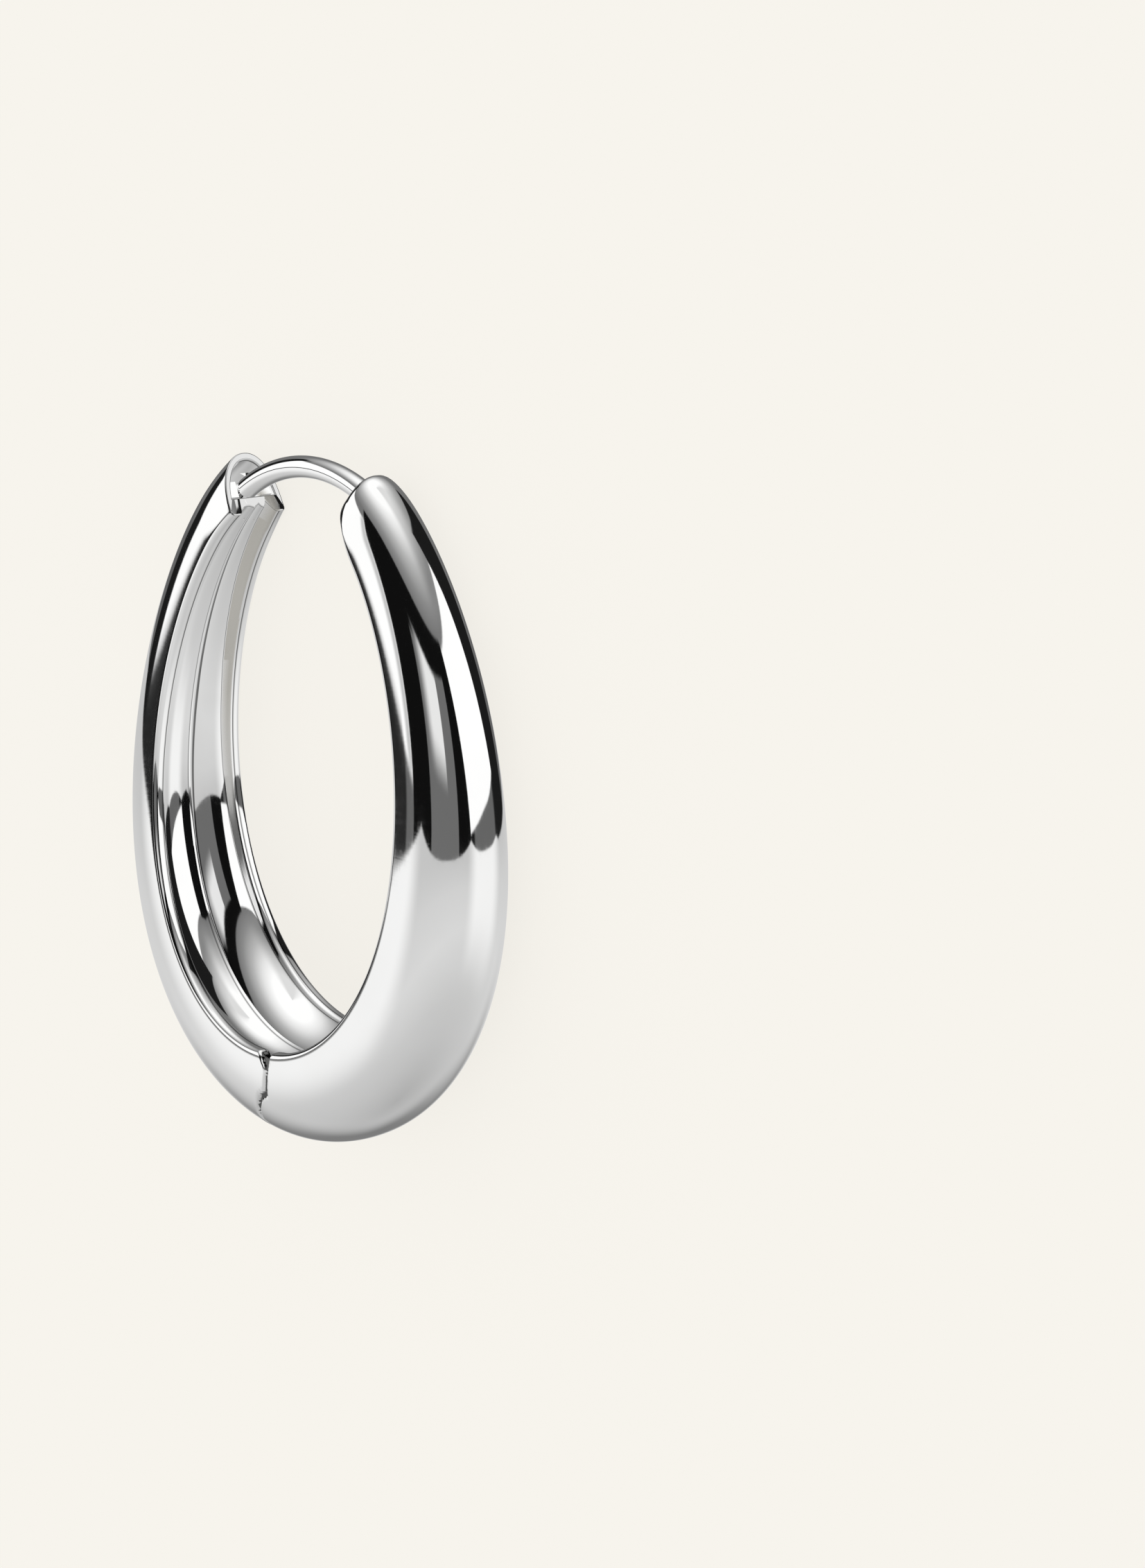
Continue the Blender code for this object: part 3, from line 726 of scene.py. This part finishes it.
def round_seam(half, band, outline, radius):
    """Sink the surface near the seam along the uncut band's normals, and list its very edge, which
    gets a painted shade line.
    """
    sunk = 0
    edge = set()
    for vert in half.data.vertices:
        if vert.co.y > SEAM_TOP:
            continue
        away = distance_to_line(vert.co.xy, outline)
        if away < SEAM_LINE:
            edge.add(vert.index)
        if away >= radius:
            continue
        _, normal, _, gap = band.find_nearest(vert.co)
        if gap > ON_SURFACE:
            continue
        rest = radius - away
        vert.co -= normal * (radius - math.sqrt(radius * radius - rest * rest))
        sunk += 1
    print(half.name, "vertices sunk along the seam:", sunk)
    return edge


# %% The back half
front_seam = seam_outline(0.0, FRONT_NOTCH, 1.5 * math.pi)
back_seam = seam_outline(SEAM_GAP, -BACK_NOTCH, 1.5 * math.pi - OPENING_ANGLE)


def back_half():
    """Back half with its open tip, the cavity and catch jaws inside, and the hinge tongue."""
    rate = rim_tangent(BACK_TIP_ANGLE).length
    edge_turn = SHELL_EDGE_ROUND / rate
    rings = limb_rings(SEAM_X / RIM_HALF_WIDTH, edge_turn - BACK_TIP_ANGLE, lambda angle: 1.0)
    quarter = spaced(0.0, 0.5 * math.pi, ROUND_STEPS)
    for turn in quarter[1:]:
        angle = edge_turn * (1.0 - math.sin(turn)) - BACK_TIP_ANGLE
        inset = SHELL_EDGE_ROUND * (1.0 - math.cos(turn))
        rings.append(ring_of(angle, drawn_in(band_section(angle), angle, inset, inset, inset)))
    for turn in quarter:
        angle = edge_turn * (1.0 - math.cos(turn)) - BACK_TIP_ANGLE
        wall = SHELL_WALL - SHELL_EDGE_ROUND * (1.0 - math.sin(turn))
        rings.append(ring_of(angle, cavity_section(angle, wall)))
    for turn in spaced(0.0, BOWL_TURN, CAVITY_STEPS)[1:]:
        angle = edge_turn + (BOWL_DEPTH / rate - edge_turn) * math.sin(turn) - BACK_TIP_ANGLE
        rings.append(ring_of(angle, cavity_section(angle, SHELL_WALL, math.cos(turn))))
    section = section_shade_lines()
    # Painted shade: dark lines where the open tip's rounded edge starts outside and ends inside the
    # mouth, a lighter shade over the edge between.
    edge_shade_ring = [EDGE_SHADE] * len(section)
    shade_line_ring = [EDGE_SHADE_LINE] * len(section)
    marks = section * (LIMB_STEPS + SEAM_STEPS + 1) + shade_line_ring + edge_shade_ring * (2 * ROUND_STEPS - 1)
    marks += shade_line_ring + [0.0] * (CAVITY_STEPS * len(section))
    half = swept("back_shell", rings)
    band = BVHTree.FromObject(half, bpy.context.evaluated_depsgraph_get())
    cut_or_join(half, "DIFFERENCE", end_cutter("back_end_cutter", back_seam, REACH))
    cut_or_join(half, "UNION", tongue())
    cut_or_join(half, "DIFFERENCE", bore_cutter())
    cut_or_join(half, "UNION", catch_jaws())
    cut_or_join(half, "DIFFERENCE", way_out_cutter())
    return half, band, shade_line_tree(rings, marks)


back_shell, back_band, back_shade_lines = back_half()
front_line = round_seam(front_shell, front_band, front_seam, FRONT_SEAM_ROUND)
back_line = round_seam(back_shell, back_band, back_seam, BACK_SEAM_ROUND)
print("back shell faces:", len(back_shell.data.polygons))

# %% [markdown]
# The slanted far wall gets a warm grey tint and a rougher finish, most of all near the top.
# Dark lines of painted shade run along the lips, the ridge, the slit, the mouth and the seam,
# where notches and gaps lie in shadow. Each vertex keeps both, as attributes that the finish reads
# later.

# %% Mark the warm tint and the painted shade lines
# a warm grey tint and a rougher finish on the slanted far wall, growing from the lower to the
# higher angle
WALL_TINT_LOW = math.radians(62.0)
WALL_TINT_HIGH = math.radians(100.0)
WALL_TINT_REACH = 0.45


def recess_at(place):
    """How much warm grey tint a place of the drawing gets, from 0 to 1."""
    angle = math.atan2(place.x / RIM_HALF_WIDTH, -place.y / RIM_HALF_HEIGHT)
    rim = rim_point(angle)
    out = (place.xy - rim).dot(rim_normal(angle))
    half = 0.5 * band_width(angle)
    edge = half - RIM_ROUND - FAR_LIP_WIDTH - 0.5 * LIP_EDGE_ROUND
    run = WALL_RUN + WALL_RUN_GAIN * (REFERENCE_WIDTH - 2.0 * half) + SLIT_WIDTH + RIB_EDGE_ROUND
    inside = 0.0 <= out + RIM_ROUND < WALL_TINT_REACH * dome_height(angle)
    on_wall = inside and edge - run < -place.z < edge
    share = (abs(angle) - WALL_TINT_LOW) / (WALL_TINT_HIGH - WALL_TINT_LOW)
    return min(max(share, 0.0), 1.0) if on_wall else 0.0


MARK_REACH = 0.1 * MM
# painted shade: a dark line along the very edge of the seam, where the gap between the halves lies
# in shadow
SEAM_SHADE_LINE = 0.9
marked = ((front_shell, front_shade_lines, front_line), (back_shell, back_shade_lines, back_line))
for shell, (tree, dark), seam_edge in marked:
    lines = []
    for vert in shell.data.vertices:
        _, index, gap = tree.find(vert.co)
        dark_here = dark[index] if gap < MARK_REACH else 0.0
        lines.append(max(dark_here, SEAM_SHADE_LINE if vert.index in seam_edge else 0.0))
    markings = [recess_at(vert.co) for vert in shell.data.vertices]
    for name, values in (("shade_line", lines), ("recess", markings)):
        shell.data.attributes.new(name, "FLOAT", "POINT").data.foreach_set("value", values)
    print(shell.name, "vertices in the recess:", sum(1 for value in markings if value > 0.0))

# %% Place both halves in the frame
SMOOTH_UNDER = math.radians(30.0)
for shell in (front_shell, back_shell):
    shell.data.transform(to_frame)
    shell.data.shade_smooth()
    shell.data.set_sharp_from_angle(angle=SMOOTH_UNDER)
    shell.visible_glossy = False


# %% [markdown]
# A studio for silver is mostly what the silver sees. Seen from the hoop, the room has a pale
# ground, a dark line at its horizon, walls of white screens and black flags, a window with a
# lamp in it, and a ceiling that brightens upwards. Directions are counted as on a globe: height
# above the horizon along the hoop's length, and bearing round it, in degrees.

# %% Greys as the eye reads them
def grey(level):
    """Linear light of a grey level between 0 and 255."""
    share = level / 255.0
    if share <= 0.04045:
        return share / 12.92
    return ((share + 0.055) / 1.055) ** 2.4


CREAM = (grey(247.0), grey(244.0), grey(237.0), 1.0)
print("floor cream, linear:", [round(value, 3) for value in CREAM[:3]])


# %% Small helpers for shader nodes
def add_node(tree, kind, **settings):
    """Node of a kind with its plain settings."""
    node = tree.nodes.new(kind)
    for name, value in settings.items():
        setattr(node, name, value)
    return node


def plug(tree, source, socket):
    """Feed a socket from another socket, or set it to a plain value."""
    if isinstance(source, bpy.types.NodeSocket):
        tree.links.new(source, socket)
    else:
        socket.default_value = source


def calculate(tree, operation, first, second=0.0, third=0.0):
    """Result of a Math node."""
    node = add_node(tree, "ShaderNodeMath", operation=operation)
    plug(tree, first, node.inputs[0])
    plug(tree, second, node.inputs[1])
    plug(tree, third, node.inputs[2])
    return node.outputs[0]


def ramp_between(tree, value, low, high, first=0.0, last=1.0):
    """Smooth step from one result to another as a value passes between two marks."""
    node = add_node(tree, "ShaderNodeMapRange", interpolation_type="SMOOTHSTEP")
    plug(tree, value, node.inputs["Value"])
    node.inputs["From Min"].default_value = low
    node.inputs["From Max"].default_value = high
    node.inputs["To Min"].default_value = first
    node.inputs["To Max"].default_value = last
    return node.outputs["Result"]


def past(tree, value, edge, soft):
    """Mask that is 1 where a value is past an edge, with a soft border."""
    return ramp_between(tree, calculate(tree, "SUBTRACT", value, edge), -soft, soft)


def product(tree, first, *others):
    """Product of two or more numbers."""
    for other in others:
        first = calculate(tree, "MULTIPLY", first, other)
    return first


def mixed(tree, factor, first, second):
    """Number mixed from two others."""
    node = add_node(tree, "ShaderNodeMix", data_type="FLOAT")
    plug(tree, factor, node.inputs[0])
    plug(tree, first, node.inputs[2])
    plug(tree, second, node.inputs[3])
    return node.outputs[0]


def tinted(tree, factor, first, second, blend="MIX"):
    """Colour blended from two others."""
    node = add_node(tree, "ShaderNodeMix", data_type="RGBA", blend_type=blend)
    plug(tree, factor, node.inputs[0])
    plug(tree, first, node.inputs[6])
    plug(tree, second, node.inputs[7])
    return node.outputs[2]


# %% [markdown]
# The walls are a short table. A panel runs between two bearings at the horizon, its sides may
# slant, and it ends at a height at either side. Soft edges stand for what is out of focus.

# %% The room's panels
ROOM_BEARING = math.radians(50.57)
HORIZON = -8.6
SCALLOP_RISE = 3.3
SCALLOPS = ((-100, 40), (-10, 51), (76, 35))
PANELS = (
    # grey, left, right, slant of either side, bottom left and right, top left and right, softness
    ("ground line", 100, -181, 181, 0, 0, -9, -9, 2, 2, 0.8),
    ("left screen", 255, -122, -72, 0, 0, -5, -3.6, 34, 24, 1.2),
    ("left screen's shaded side", 196, -79, -73, 0, 0, -3.6, -3.6, 24, 26, 2.5),
    ("far left flag", 27, -142, -122, 0, 0, -9, -9, 40, 40, 2),
    ("left screen's foot", 38, -126, -84, 0, 0, -9, -9, -5, -3.6, 2),
    ("screen's near foot", 22, 30, 50, 0, 0, -9, -9, 2, 2, 2.5),
    ("screen's far foot", 30, 99, 114, 0, 0, -9, -9, 2, 2, 3),
    ("window flag", 15, -73, 42, 0, -0.33, -9, -9, 33, 33, 0.8),
    ("window", 106, -43, 12, 0, 0, -9, -9, 19, 24.5, 0.8),
    ("right screen", 255, 42, 107, -0.33, -0.30, -3.9, 1.2, 33, 42.5, 0.8),
    ("right flag", 27, 107, 141, -0.30, 0, -9, -9, 46.5, 38, 0.8),
)
for panel in PANELS:
    print(panel[0], "from", panel[2], "to", panel[3], "degrees")


# %% Room seen by the silver
def room_angles(tree):
    """Bearing and height of the direction of sight in the hoop's own drawing, in degrees."""
    turn = add_node(tree, "ShaderNodeVectorRotate", rotation_type="X_AXIS")
    plug(tree, add_node(tree, "ShaderNodeTexCoord").outputs["Generated"], turn.inputs["Vector"])
    turn.inputs["Angle"].default_value = -lean
    split = add_node(tree, "ShaderNodeSeparateXYZ")
    plug(tree, turn.outputs["Vector"], split.inputs[0])
    x, y, z = split.outputs
    ahead_x, ahead_z = math.sin(ROOM_BEARING), math.cos(ROOM_BEARING)
    side = calculate(tree, "MULTIPLY_ADD", x, ahead_z, product(tree, z, -ahead_x))
    ahead = calculate(tree, "MULTIPLY_ADD", x, ahead_x, product(tree, z, ahead_z))
    bearing = calculate(tree, "DEGREES", calculate(tree, "ARCTAN2", side, ahead))
    return bearing, calculate(tree, "DEGREES", calculate(tree, "ARCSINE", y))


def line_across(tree, bearing, left, right, at_left, at_right):
    """Height of a straight line that is given at two bearings."""
    slope = (at_right - at_left) / (right - left)
    return calculate(tree, "MULTIPLY_ADD", bearing, slope, at_left - slope * left)


def panel_mask(tree, bearing, height, panel):
    """Mask of one panel of the room, 1 inside it."""
    left, right, left_slant, right_slant, *levels, soft = panel[2:]
    above = calculate(tree, "SUBTRACT", height, HORIZON)
    left_edge = calculate(tree, "MULTIPLY_ADD", above, left_slant, left)
    right_edge = calculate(tree, "MULTIPLY_ADD", above, right_slant, right)
    bottom = line_across(tree, bearing, left, right, *levels[:2])
    top = line_across(tree, bearing, left, right, *levels[2:])
    return product(
        tree, past(tree, bearing, left_edge, soft), past(tree, right_edge, bearing, soft),
        past(tree, top, height, soft), past(tree, height, bottom, 0.5 * soft))


def ramp_of_greys(tree, height, stops):
    """Grey that follows the height through stops, each a height and a level."""
    share = add_node(tree, "ShaderNodeMapRange")
    plug(tree, height, share.inputs["Value"])
    share.inputs["From Min"].default_value = -90.0
    share.inputs["From Max"].default_value = 90.0
    ramp = add_node(tree, "ShaderNodeValToRGB")
    tree.links.new(share.outputs["Result"], ramp.inputs["Fac"])
    elements = ramp.color_ramp.elements
    while len(elements) < len(stops):
        elements.new(0.5)
    for element, (mark, level) in zip(elements, stops):
        element.position = (mark + 90.0) / 180.0
        element.color = (grey(level), grey(level), grey(level), 1.0)
    return ramp.outputs["Color"]


def away_from(tree, bearing, middle):
    """Degrees between the direction of sight and a bearing."""
    return calculate(tree, "ABSOLUTE", calculate(tree, "SUBTRACT", bearing, middle))


def pool(tree, bearing, height, place):
    """Soft patch round one bearing that fades out between two heights."""
    middle, spread, low, high = place
    beside = ramp_between(tree, away_from(tree, bearing, middle), spread, 0.35 * spread)
    return product(tree, beside, ramp_between(tree, height, low, high))


# %% Ceiling and ground
# height and grey of each stop
CEILING = ((-9, 112), (33, 114), (40, 138), (50, 182), (60, 228), (70, 255))
GROUND = ((-90, 174), (-60, 192), (-45, 199), (-25, 215), (-15, 208), (-9, 196))
# a pool is its bearing, its spread and the heights where it starts and ends
CEILING_SHADE = (88, 60, 38, 44)
SHADED_SHARE = 0.72
GROUND_POOLS = ((72, 42, -42, -18), (-92, 34, -42, -18))
POOL_GREY = 243
# the shade behind is where it starts and is full, by bearing and at its two heights
BACK_SHADE, BACK_LEVELS = (120, 172), ((-18, -34), (-75, -48))
BACK_GREY = 124
SCALLOP_POWER = 2.6
FLAT_HORIZON = (96, 108)
LAMP_SIDES, LAMP_LEVELS = ((-42, -26), (-7.4, -9)), ((2, 10.5), (22.5, 20.5))
LAMP_GREY = 230


def scalloped(tree, bearing):
    """Height of the horizon, which sags in an arch under each group of panels."""
    nearest = 1.0
    for middle, half in SCALLOPS:
        share = calculate(tree, "DIVIDE", away_from(tree, bearing, middle), half)
        nearest = calculate(tree, "MINIMUM", nearest, share)
    rise = product(tree, calculate(tree, "POWER", nearest, SCALLOP_POWER), SCALLOP_RISE)
    rise = mixed(tree, ramp_between(tree, bearing, *FLAT_HORIZON), rise, 0.0)
    return calculate(tree, "ADD", rise, HORIZON)


def ground_light(tree, bearing, height):
    """Light of the ground, with a bright pool on either side and a shade behind."""
    light = ramp_of_greys(tree, height, GROUND)
    right_pool, left_pool = [pool(tree, bearing, height, place) for place in GROUND_POOLS]
    light = mixed(tree, calculate(tree, "MAXIMUM", right_pool, left_pool), light, grey(POOL_GREY))
    levels = [ramp_between(tree, height, *level) for level in BACK_LEVELS]
    shade = product(tree, ramp_between(tree, away_from(tree, bearing, 0.0), *BACK_SHADE), *levels)
    return mixed(tree, shade, light, grey(BACK_GREY))


def room_light(tree):
    """Light of the whole room for one direction of sight."""
    bearing, height = room_angles(tree)
    light = ramp_of_greys(tree, height, CEILING)
    shaded = product(tree, light, SHADED_SHARE)
    light = mixed(tree, pool(tree, bearing, height, CEILING_SHADE), light, shaded)
    for panel in PANELS:
        light = mixed(tree, panel_mask(tree, bearing, height, panel), light, grey(panel[1]))
    sides = [ramp_between(tree, bearing, *side) for side in LAMP_SIDES]
    levels = [ramp_between(tree, height, *level) for level in LAMP_LEVELS]
    light = mixed(tree, product(tree, *sides, *levels), light, grey(LAMP_GREY))
    below = past(tree, scalloped(tree, bearing), height, 0.3)
    return mixed(tree, below, light, ground_light(tree, bearing, height))


# %% [markdown]
# Silver mirrors the room, but the floor is matt and lit by soft, even light. The world tells
# the two apart by the kind of ray, so that the floor stays plain and the silver stays lively.

# %% Soft light for the floor, the room for the silver
SOFT_LIGHT = 1.0
SILVER_REFLECTANCE = 0.95

world = bpy.data.worlds.new("studio")
bpy.context.scene.world = world
world.use_nodes = True
world.cycles.sampling_method = "NONE"
studio = world.node_tree
studio.nodes.clear()
chosen = add_node(studio, "ShaderNodeMixShader")
plug(studio, add_node(studio, "ShaderNodeLightPath").outputs["Is Glossy Ray"], chosen.inputs["Fac"])
room_strength = 1.0 / SILVER_REFLECTANCE
lights = (((1.0, 1.0, 1.0, 1.0), SOFT_LIGHT), (room_light(studio), room_strength))
for (colour, strength), way_in in zip(lights, chosen.inputs[1:]):
    light = add_node(studio, "ShaderNodeBackground")
    plug(studio, colour, light.inputs["Color"])
    light.inputs["Strength"].default_value = strength
    plug(studio, light.outputs[0], way_in)
plug(studio, chosen.outputs[0], add_node(studio, "ShaderNodeOutputWorld").inputs["Surface"])
bpy.context.scene.view_settings.view_transform = "Standard"
print("studio nodes:", len(studio.nodes))


# %% [markdown]
# Polished silver is bright and almost without colour. What makes it real is small: hairlines
# left by the polishing mop, patches that are a little less bright, dark lines of painted shade
# in the notches and gaps, and a warm grey tint on the slanted far wall.

# %% Shared finish groups
def finish_group(name, inputs, outputs):
    """Empty shader group with named number inputs and outputs."""
    group = bpy.data.node_groups.new(name, "ShaderNodeTree")
    for label, kind, value in inputs:
        socket = group.interface.new_socket(name=label, in_out="INPUT", socket_type=kind)
        if value is not None:
            socket.default_value = value
    for label, kind in outputs:
        group.interface.new_socket(name=label, in_out="OUTPUT", socket_type=kind)
    return group, add_node(group, "NodeGroupInput"), add_node(group, "NodeGroupOutput")


# turn and stretch of the two directions of hairlines, and what counts as a line or a patch
HAIRLINES = ((0.35, (9000.0, 260.0, 9000.0)), (-0.9, (260.0, 7000.0, 7000.0)))
HAIRLINE_MARKS = (0.22, 0.36)
PATCH_MARKS = (0.35, 0.68)


def noise(group, vector, scale, detail):
    """Noise over a place, from 0 to 1."""
    cloud = add_node(group, "ShaderNodeTexNoise")
    plug(group, vector, cloud.inputs["Vector"])
    plug(group, scale, cloud.inputs["Scale"])
    cloud.inputs["Detail"].default_value = detail
    return cloud.outputs["Fac"]


def build_hairlines():
    """Faint polishing lines: long stretched noise in two directions."""
    group, given, result = finish_group(
        "polishing_hairlines",
        (("Vector", "NodeSocketVector", None), ("Fineness", "NodeSocketFloat", 1.0)),
        (("Height", "NodeSocketFloat"), ("Mask", "NodeSocketFloat")))
    heights = []
    for turn, stretch in HAIRLINES:
        place = add_node(group, "ShaderNodeMapping")
        plug(group, given.outputs["Vector"], place.inputs["Vector"])
        place.inputs["Rotation"].default_value = (turn, 0.6 * turn, turn)
        place.inputs["Scale"].default_value = stretch
        heights.append(noise(group, place.outputs[0], given.outputs["Fineness"], 2.0))
    height = product(group, *heights)
    plug(group, height, result.inputs["Height"])
    plug(group, ramp_between(group, height, *HAIRLINE_MARKS), result.inputs["Mask"])
    return group


def build_patches():
    """Broad soft patches, where the polish is a little less even."""
    group, given, result = finish_group(
        "polish_patches",
        (("Vector", "NodeSocketVector", None), ("Size", "NodeSocketFloat", 260.0)),
        (("Mask", "NodeSocketFloat"),))
    cloud = noise(group, given.outputs["Vector"], given.outputs["Size"], 3.0)
    plug(group, ramp_between(group, cloud, *PATCH_MARKS), result.inputs["Mask"])
    return group


hairlines = build_hairlines()
patches = build_patches()
print("finish groups:", hairlines.name, patches.name)


# %% Polished silver
# warm grey tint and extra roughness on the slanted far wall
WALL_TINT_COLOUR = (0.72, 0.70, 0.65, 1.0)
WALL_TINT_ROUGHNESS = 0.4
# painted shade: dark lines in the notches, along the lips, the mouth and the seam, where the gaps
# lie in shadow
SHADE_LINE_COLOUR = (0.03, 0.03, 0.028, 1.0)
SHADE_LINE_STARTS, SHADE_LINE_FULL, SHADE_LINE_STRENGTH = 0.45, 0.9, 0.9
PATCH_COLOUR = (0.965, 0.965, 0.96, 1.0)
PATCH_STRENGTH = 0.5
RELIEF_STRENGTH = 0.02
RELIEF_HEIGHT = 0.01 * MM


def silver(name, tone, roughness, markings):
    """Polished silver with hairlines, patches, dark lines of painted shade and a warm grey tint in
    the recess.
    """
    material = bpy.data.materials.new(name)
    material.use_nodes = True
    tree = material.node_tree
    shader = tree.nodes["Principled BSDF"]
    place = add_node(tree, "ShaderNodeTexCoord").outputs["Object"]
    lines = add_node(tree, "ShaderNodeGroup", node_tree=hairlines)
    cloud = add_node(tree, "ShaderNodeGroup", node_tree=patches)
    plug(tree, place, lines.inputs["Vector"])
    plug(tree, place, cloud.inputs["Vector"])
    recess = add_node(tree, "ShaderNodeAttribute", attribute_name="recess").outputs["Fac"]
    shade_line = add_node(tree, "ShaderNodeAttribute", attribute_name="shade_line").outputs["Fac"]
    colour = tinted(tree, product(tree, recess, markings), tone, WALL_TINT_COLOUR)
    # painted shade: the colour goes dark along the marked lines
    shade_line_share = ramp_between(tree, shade_line, SHADE_LINE_STARTS, SHADE_LINE_FULL, 0.0, SHADE_LINE_STRENGTH * markings)
    colour = tinted(tree, shade_line_share, colour, SHADE_LINE_COLOUR)
    worn = product(tree, cloud.outputs["Mask"], PATCH_STRENGTH)
    colour = tinted(tree, worn, colour, PATCH_COLOUR, "MULTIPLY")
    tree.links.new(colour, shader.inputs["Base Color"])
    gloss = roughness
    shares = ((cloud.outputs["Mask"], 0.5 * roughness), (lines.outputs["Mask"], 0.6 * roughness))
    for mask, share in (*shares, (recess, WALL_TINT_ROUGHNESS * markings)):
        gloss = calculate(tree, "MULTIPLY_ADD", mask, share, gloss)
    tree.links.new(gloss, shader.inputs["Roughness"])
    relief = add_node(tree, "ShaderNodeBump")
    relief.inputs["Strength"].default_value = RELIEF_STRENGTH
    relief.inputs["Distance"].default_value = RELIEF_HEIGHT
    tree.links.new(lines.outputs["Height"], relief.inputs["Height"])
    tree.links.new(relief.outputs["Normal"], shader.inputs["Normal"])
    shader.inputs["Metallic"].default_value = 1.0
    return material


band_silver = silver("band_silver", (0.955, 0.955, 0.95, 1.0), 0.03, 1.0)
pin_metal = silver("pin_metal", (0.80, 0.80, 0.79, 1.0), 0.18, 0.0)
# painted shade: a dark finish for the cut faces in the seam gap, the slot and the catch, which are
# silver in shadow
gap_shade_metal = silver("gap_shade_metal", (0.16, 0.16, 0.155, 1.0), 0.32, 0.0)
for shell in (front_shell, back_shell):
    shell.data.materials.clear()
    for finish in (band_silver, gap_shade_metal):
        shell.data.materials.append(finish)
pin = frame["nodes"]["hinge_pin"]
pin.data.materials.clear()
pin.data.materials.append(pin_metal)
print("materials:", band_silver.name, pin_metal.name, gap_shade_metal.name)

# %% [markdown]
# The hoop lies on a plain pale floor. The floor glows a little, as a light table does, which
# keeps its tone even and the shadow under the hoop faint. It isn't mirrored by the silver.

# %% Floor
FLOOR_SIZE = 4.0
FLOOR_GLOW = 0.86

floor_shape = bmesh.new()
bmesh.ops.create_grid(floor_shape, x_segments=1, y_segments=1, size=FLOOR_SIZE)
floor = finished("floor", floor_shape)
pale = bpy.data.materials.new("pale_floor")
pale.use_nodes = True
pale_shader = pale.node_tree.nodes["Principled BSDF"]
dimmed = [(1.0 - FLOOR_GLOW) * value for value in CREAM[:3]]
pale_shader.inputs["Base Color"].default_value = dimmed + [1.0]
pale_shader.inputs["Roughness"].default_value = 1.0
pale_shader.inputs["Specular IOR Level"].default_value = 0.0
pale_shader.inputs["Emission Color"].default_value = CREAM
pale_shader.inputs["Emission Strength"].default_value = FLOOR_GLOW
floor.data.materials.append(pale)
floor.visible_glossy = False
print("floor half size, m:", FLOOR_SIZE)

# %% [markdown]
# The camera looks past the hoop's front edge into its inner face, from a little above the
# hinge line. It stands about 16 cm off and aims slightly aside, so that the hoop sits left of
# the middle as in the photograph.

# %% Camera
VIEW_SIDE = math.radians(50.57)
VIEW_RISE = math.radians(11.83)
VIEW_ROLL = math.radians(0.38)
VIEW_DISTANCE = 161.1 * MM
FRAME_WIDTH, FRAME_HEIGHT = 1652.0, 2262.0
FOCAL_PIXELS = 5348.0
CENTRE_PIXEL = (451.0, 1105.0)
FILM_WIDTH_MM = 36.0

back = Vector((
    math.sin(VIEW_SIDE) * math.cos(VIEW_RISE), math.sin(VIEW_RISE),
    math.cos(VIEW_SIDE) * math.cos(VIEW_RISE)))
level = Vector((math.cos(VIEW_SIDE), 0.0, -math.sin(VIEW_SIDE)))
upright = back.cross(level)
right = level * math.cos(VIEW_ROLL) - upright * math.sin(VIEW_ROLL)
up = level * math.sin(VIEW_ROLL) + upright * math.cos(VIEW_ROLL)
axes = turn_to_frame @ Matrix((right, up, back)).transposed()
aside = math.atan2(0.5 * FRAME_WIDTH - CENTRE_PIXEL[0], FOCAL_PIXELS)
below = math.atan2(0.5 * FRAME_HEIGHT - CENTRE_PIXEL[1], FOCAL_PIXELS)
aim = Matrix.Rotation(-aside, 3, "Y") @ Matrix.Rotation(-below, 3, "X")
lens = bpy.data.cameras.new("camera")
lens.sensor_width = FILM_WIDTH_MM
lens.lens = FILM_WIDTH_MM * FOCAL_PIXELS / FRAME_HEIGHT
lens.clip_start = 1.0 * MM
lens.clip_end = 100.0
camera = bpy.data.objects.new("camera", lens)
bpy.context.scene.collection.objects.link(camera)
stand = hoop_centre + turn_to_frame @ back * VIEW_DISTANCE
camera.matrix_world = Matrix.Translation(stand) @ (axes @ aim).to_4x4()
bpy.context.scene.camera = camera
print("camera height, mm:", round(1000.0 * stand.z, 1), "lens:", round(lens.lens, 2))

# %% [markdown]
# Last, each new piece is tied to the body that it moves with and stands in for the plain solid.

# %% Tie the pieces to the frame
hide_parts("front_half")
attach(front_shell, "front")
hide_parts("back_half")
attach(back_shell, "back")
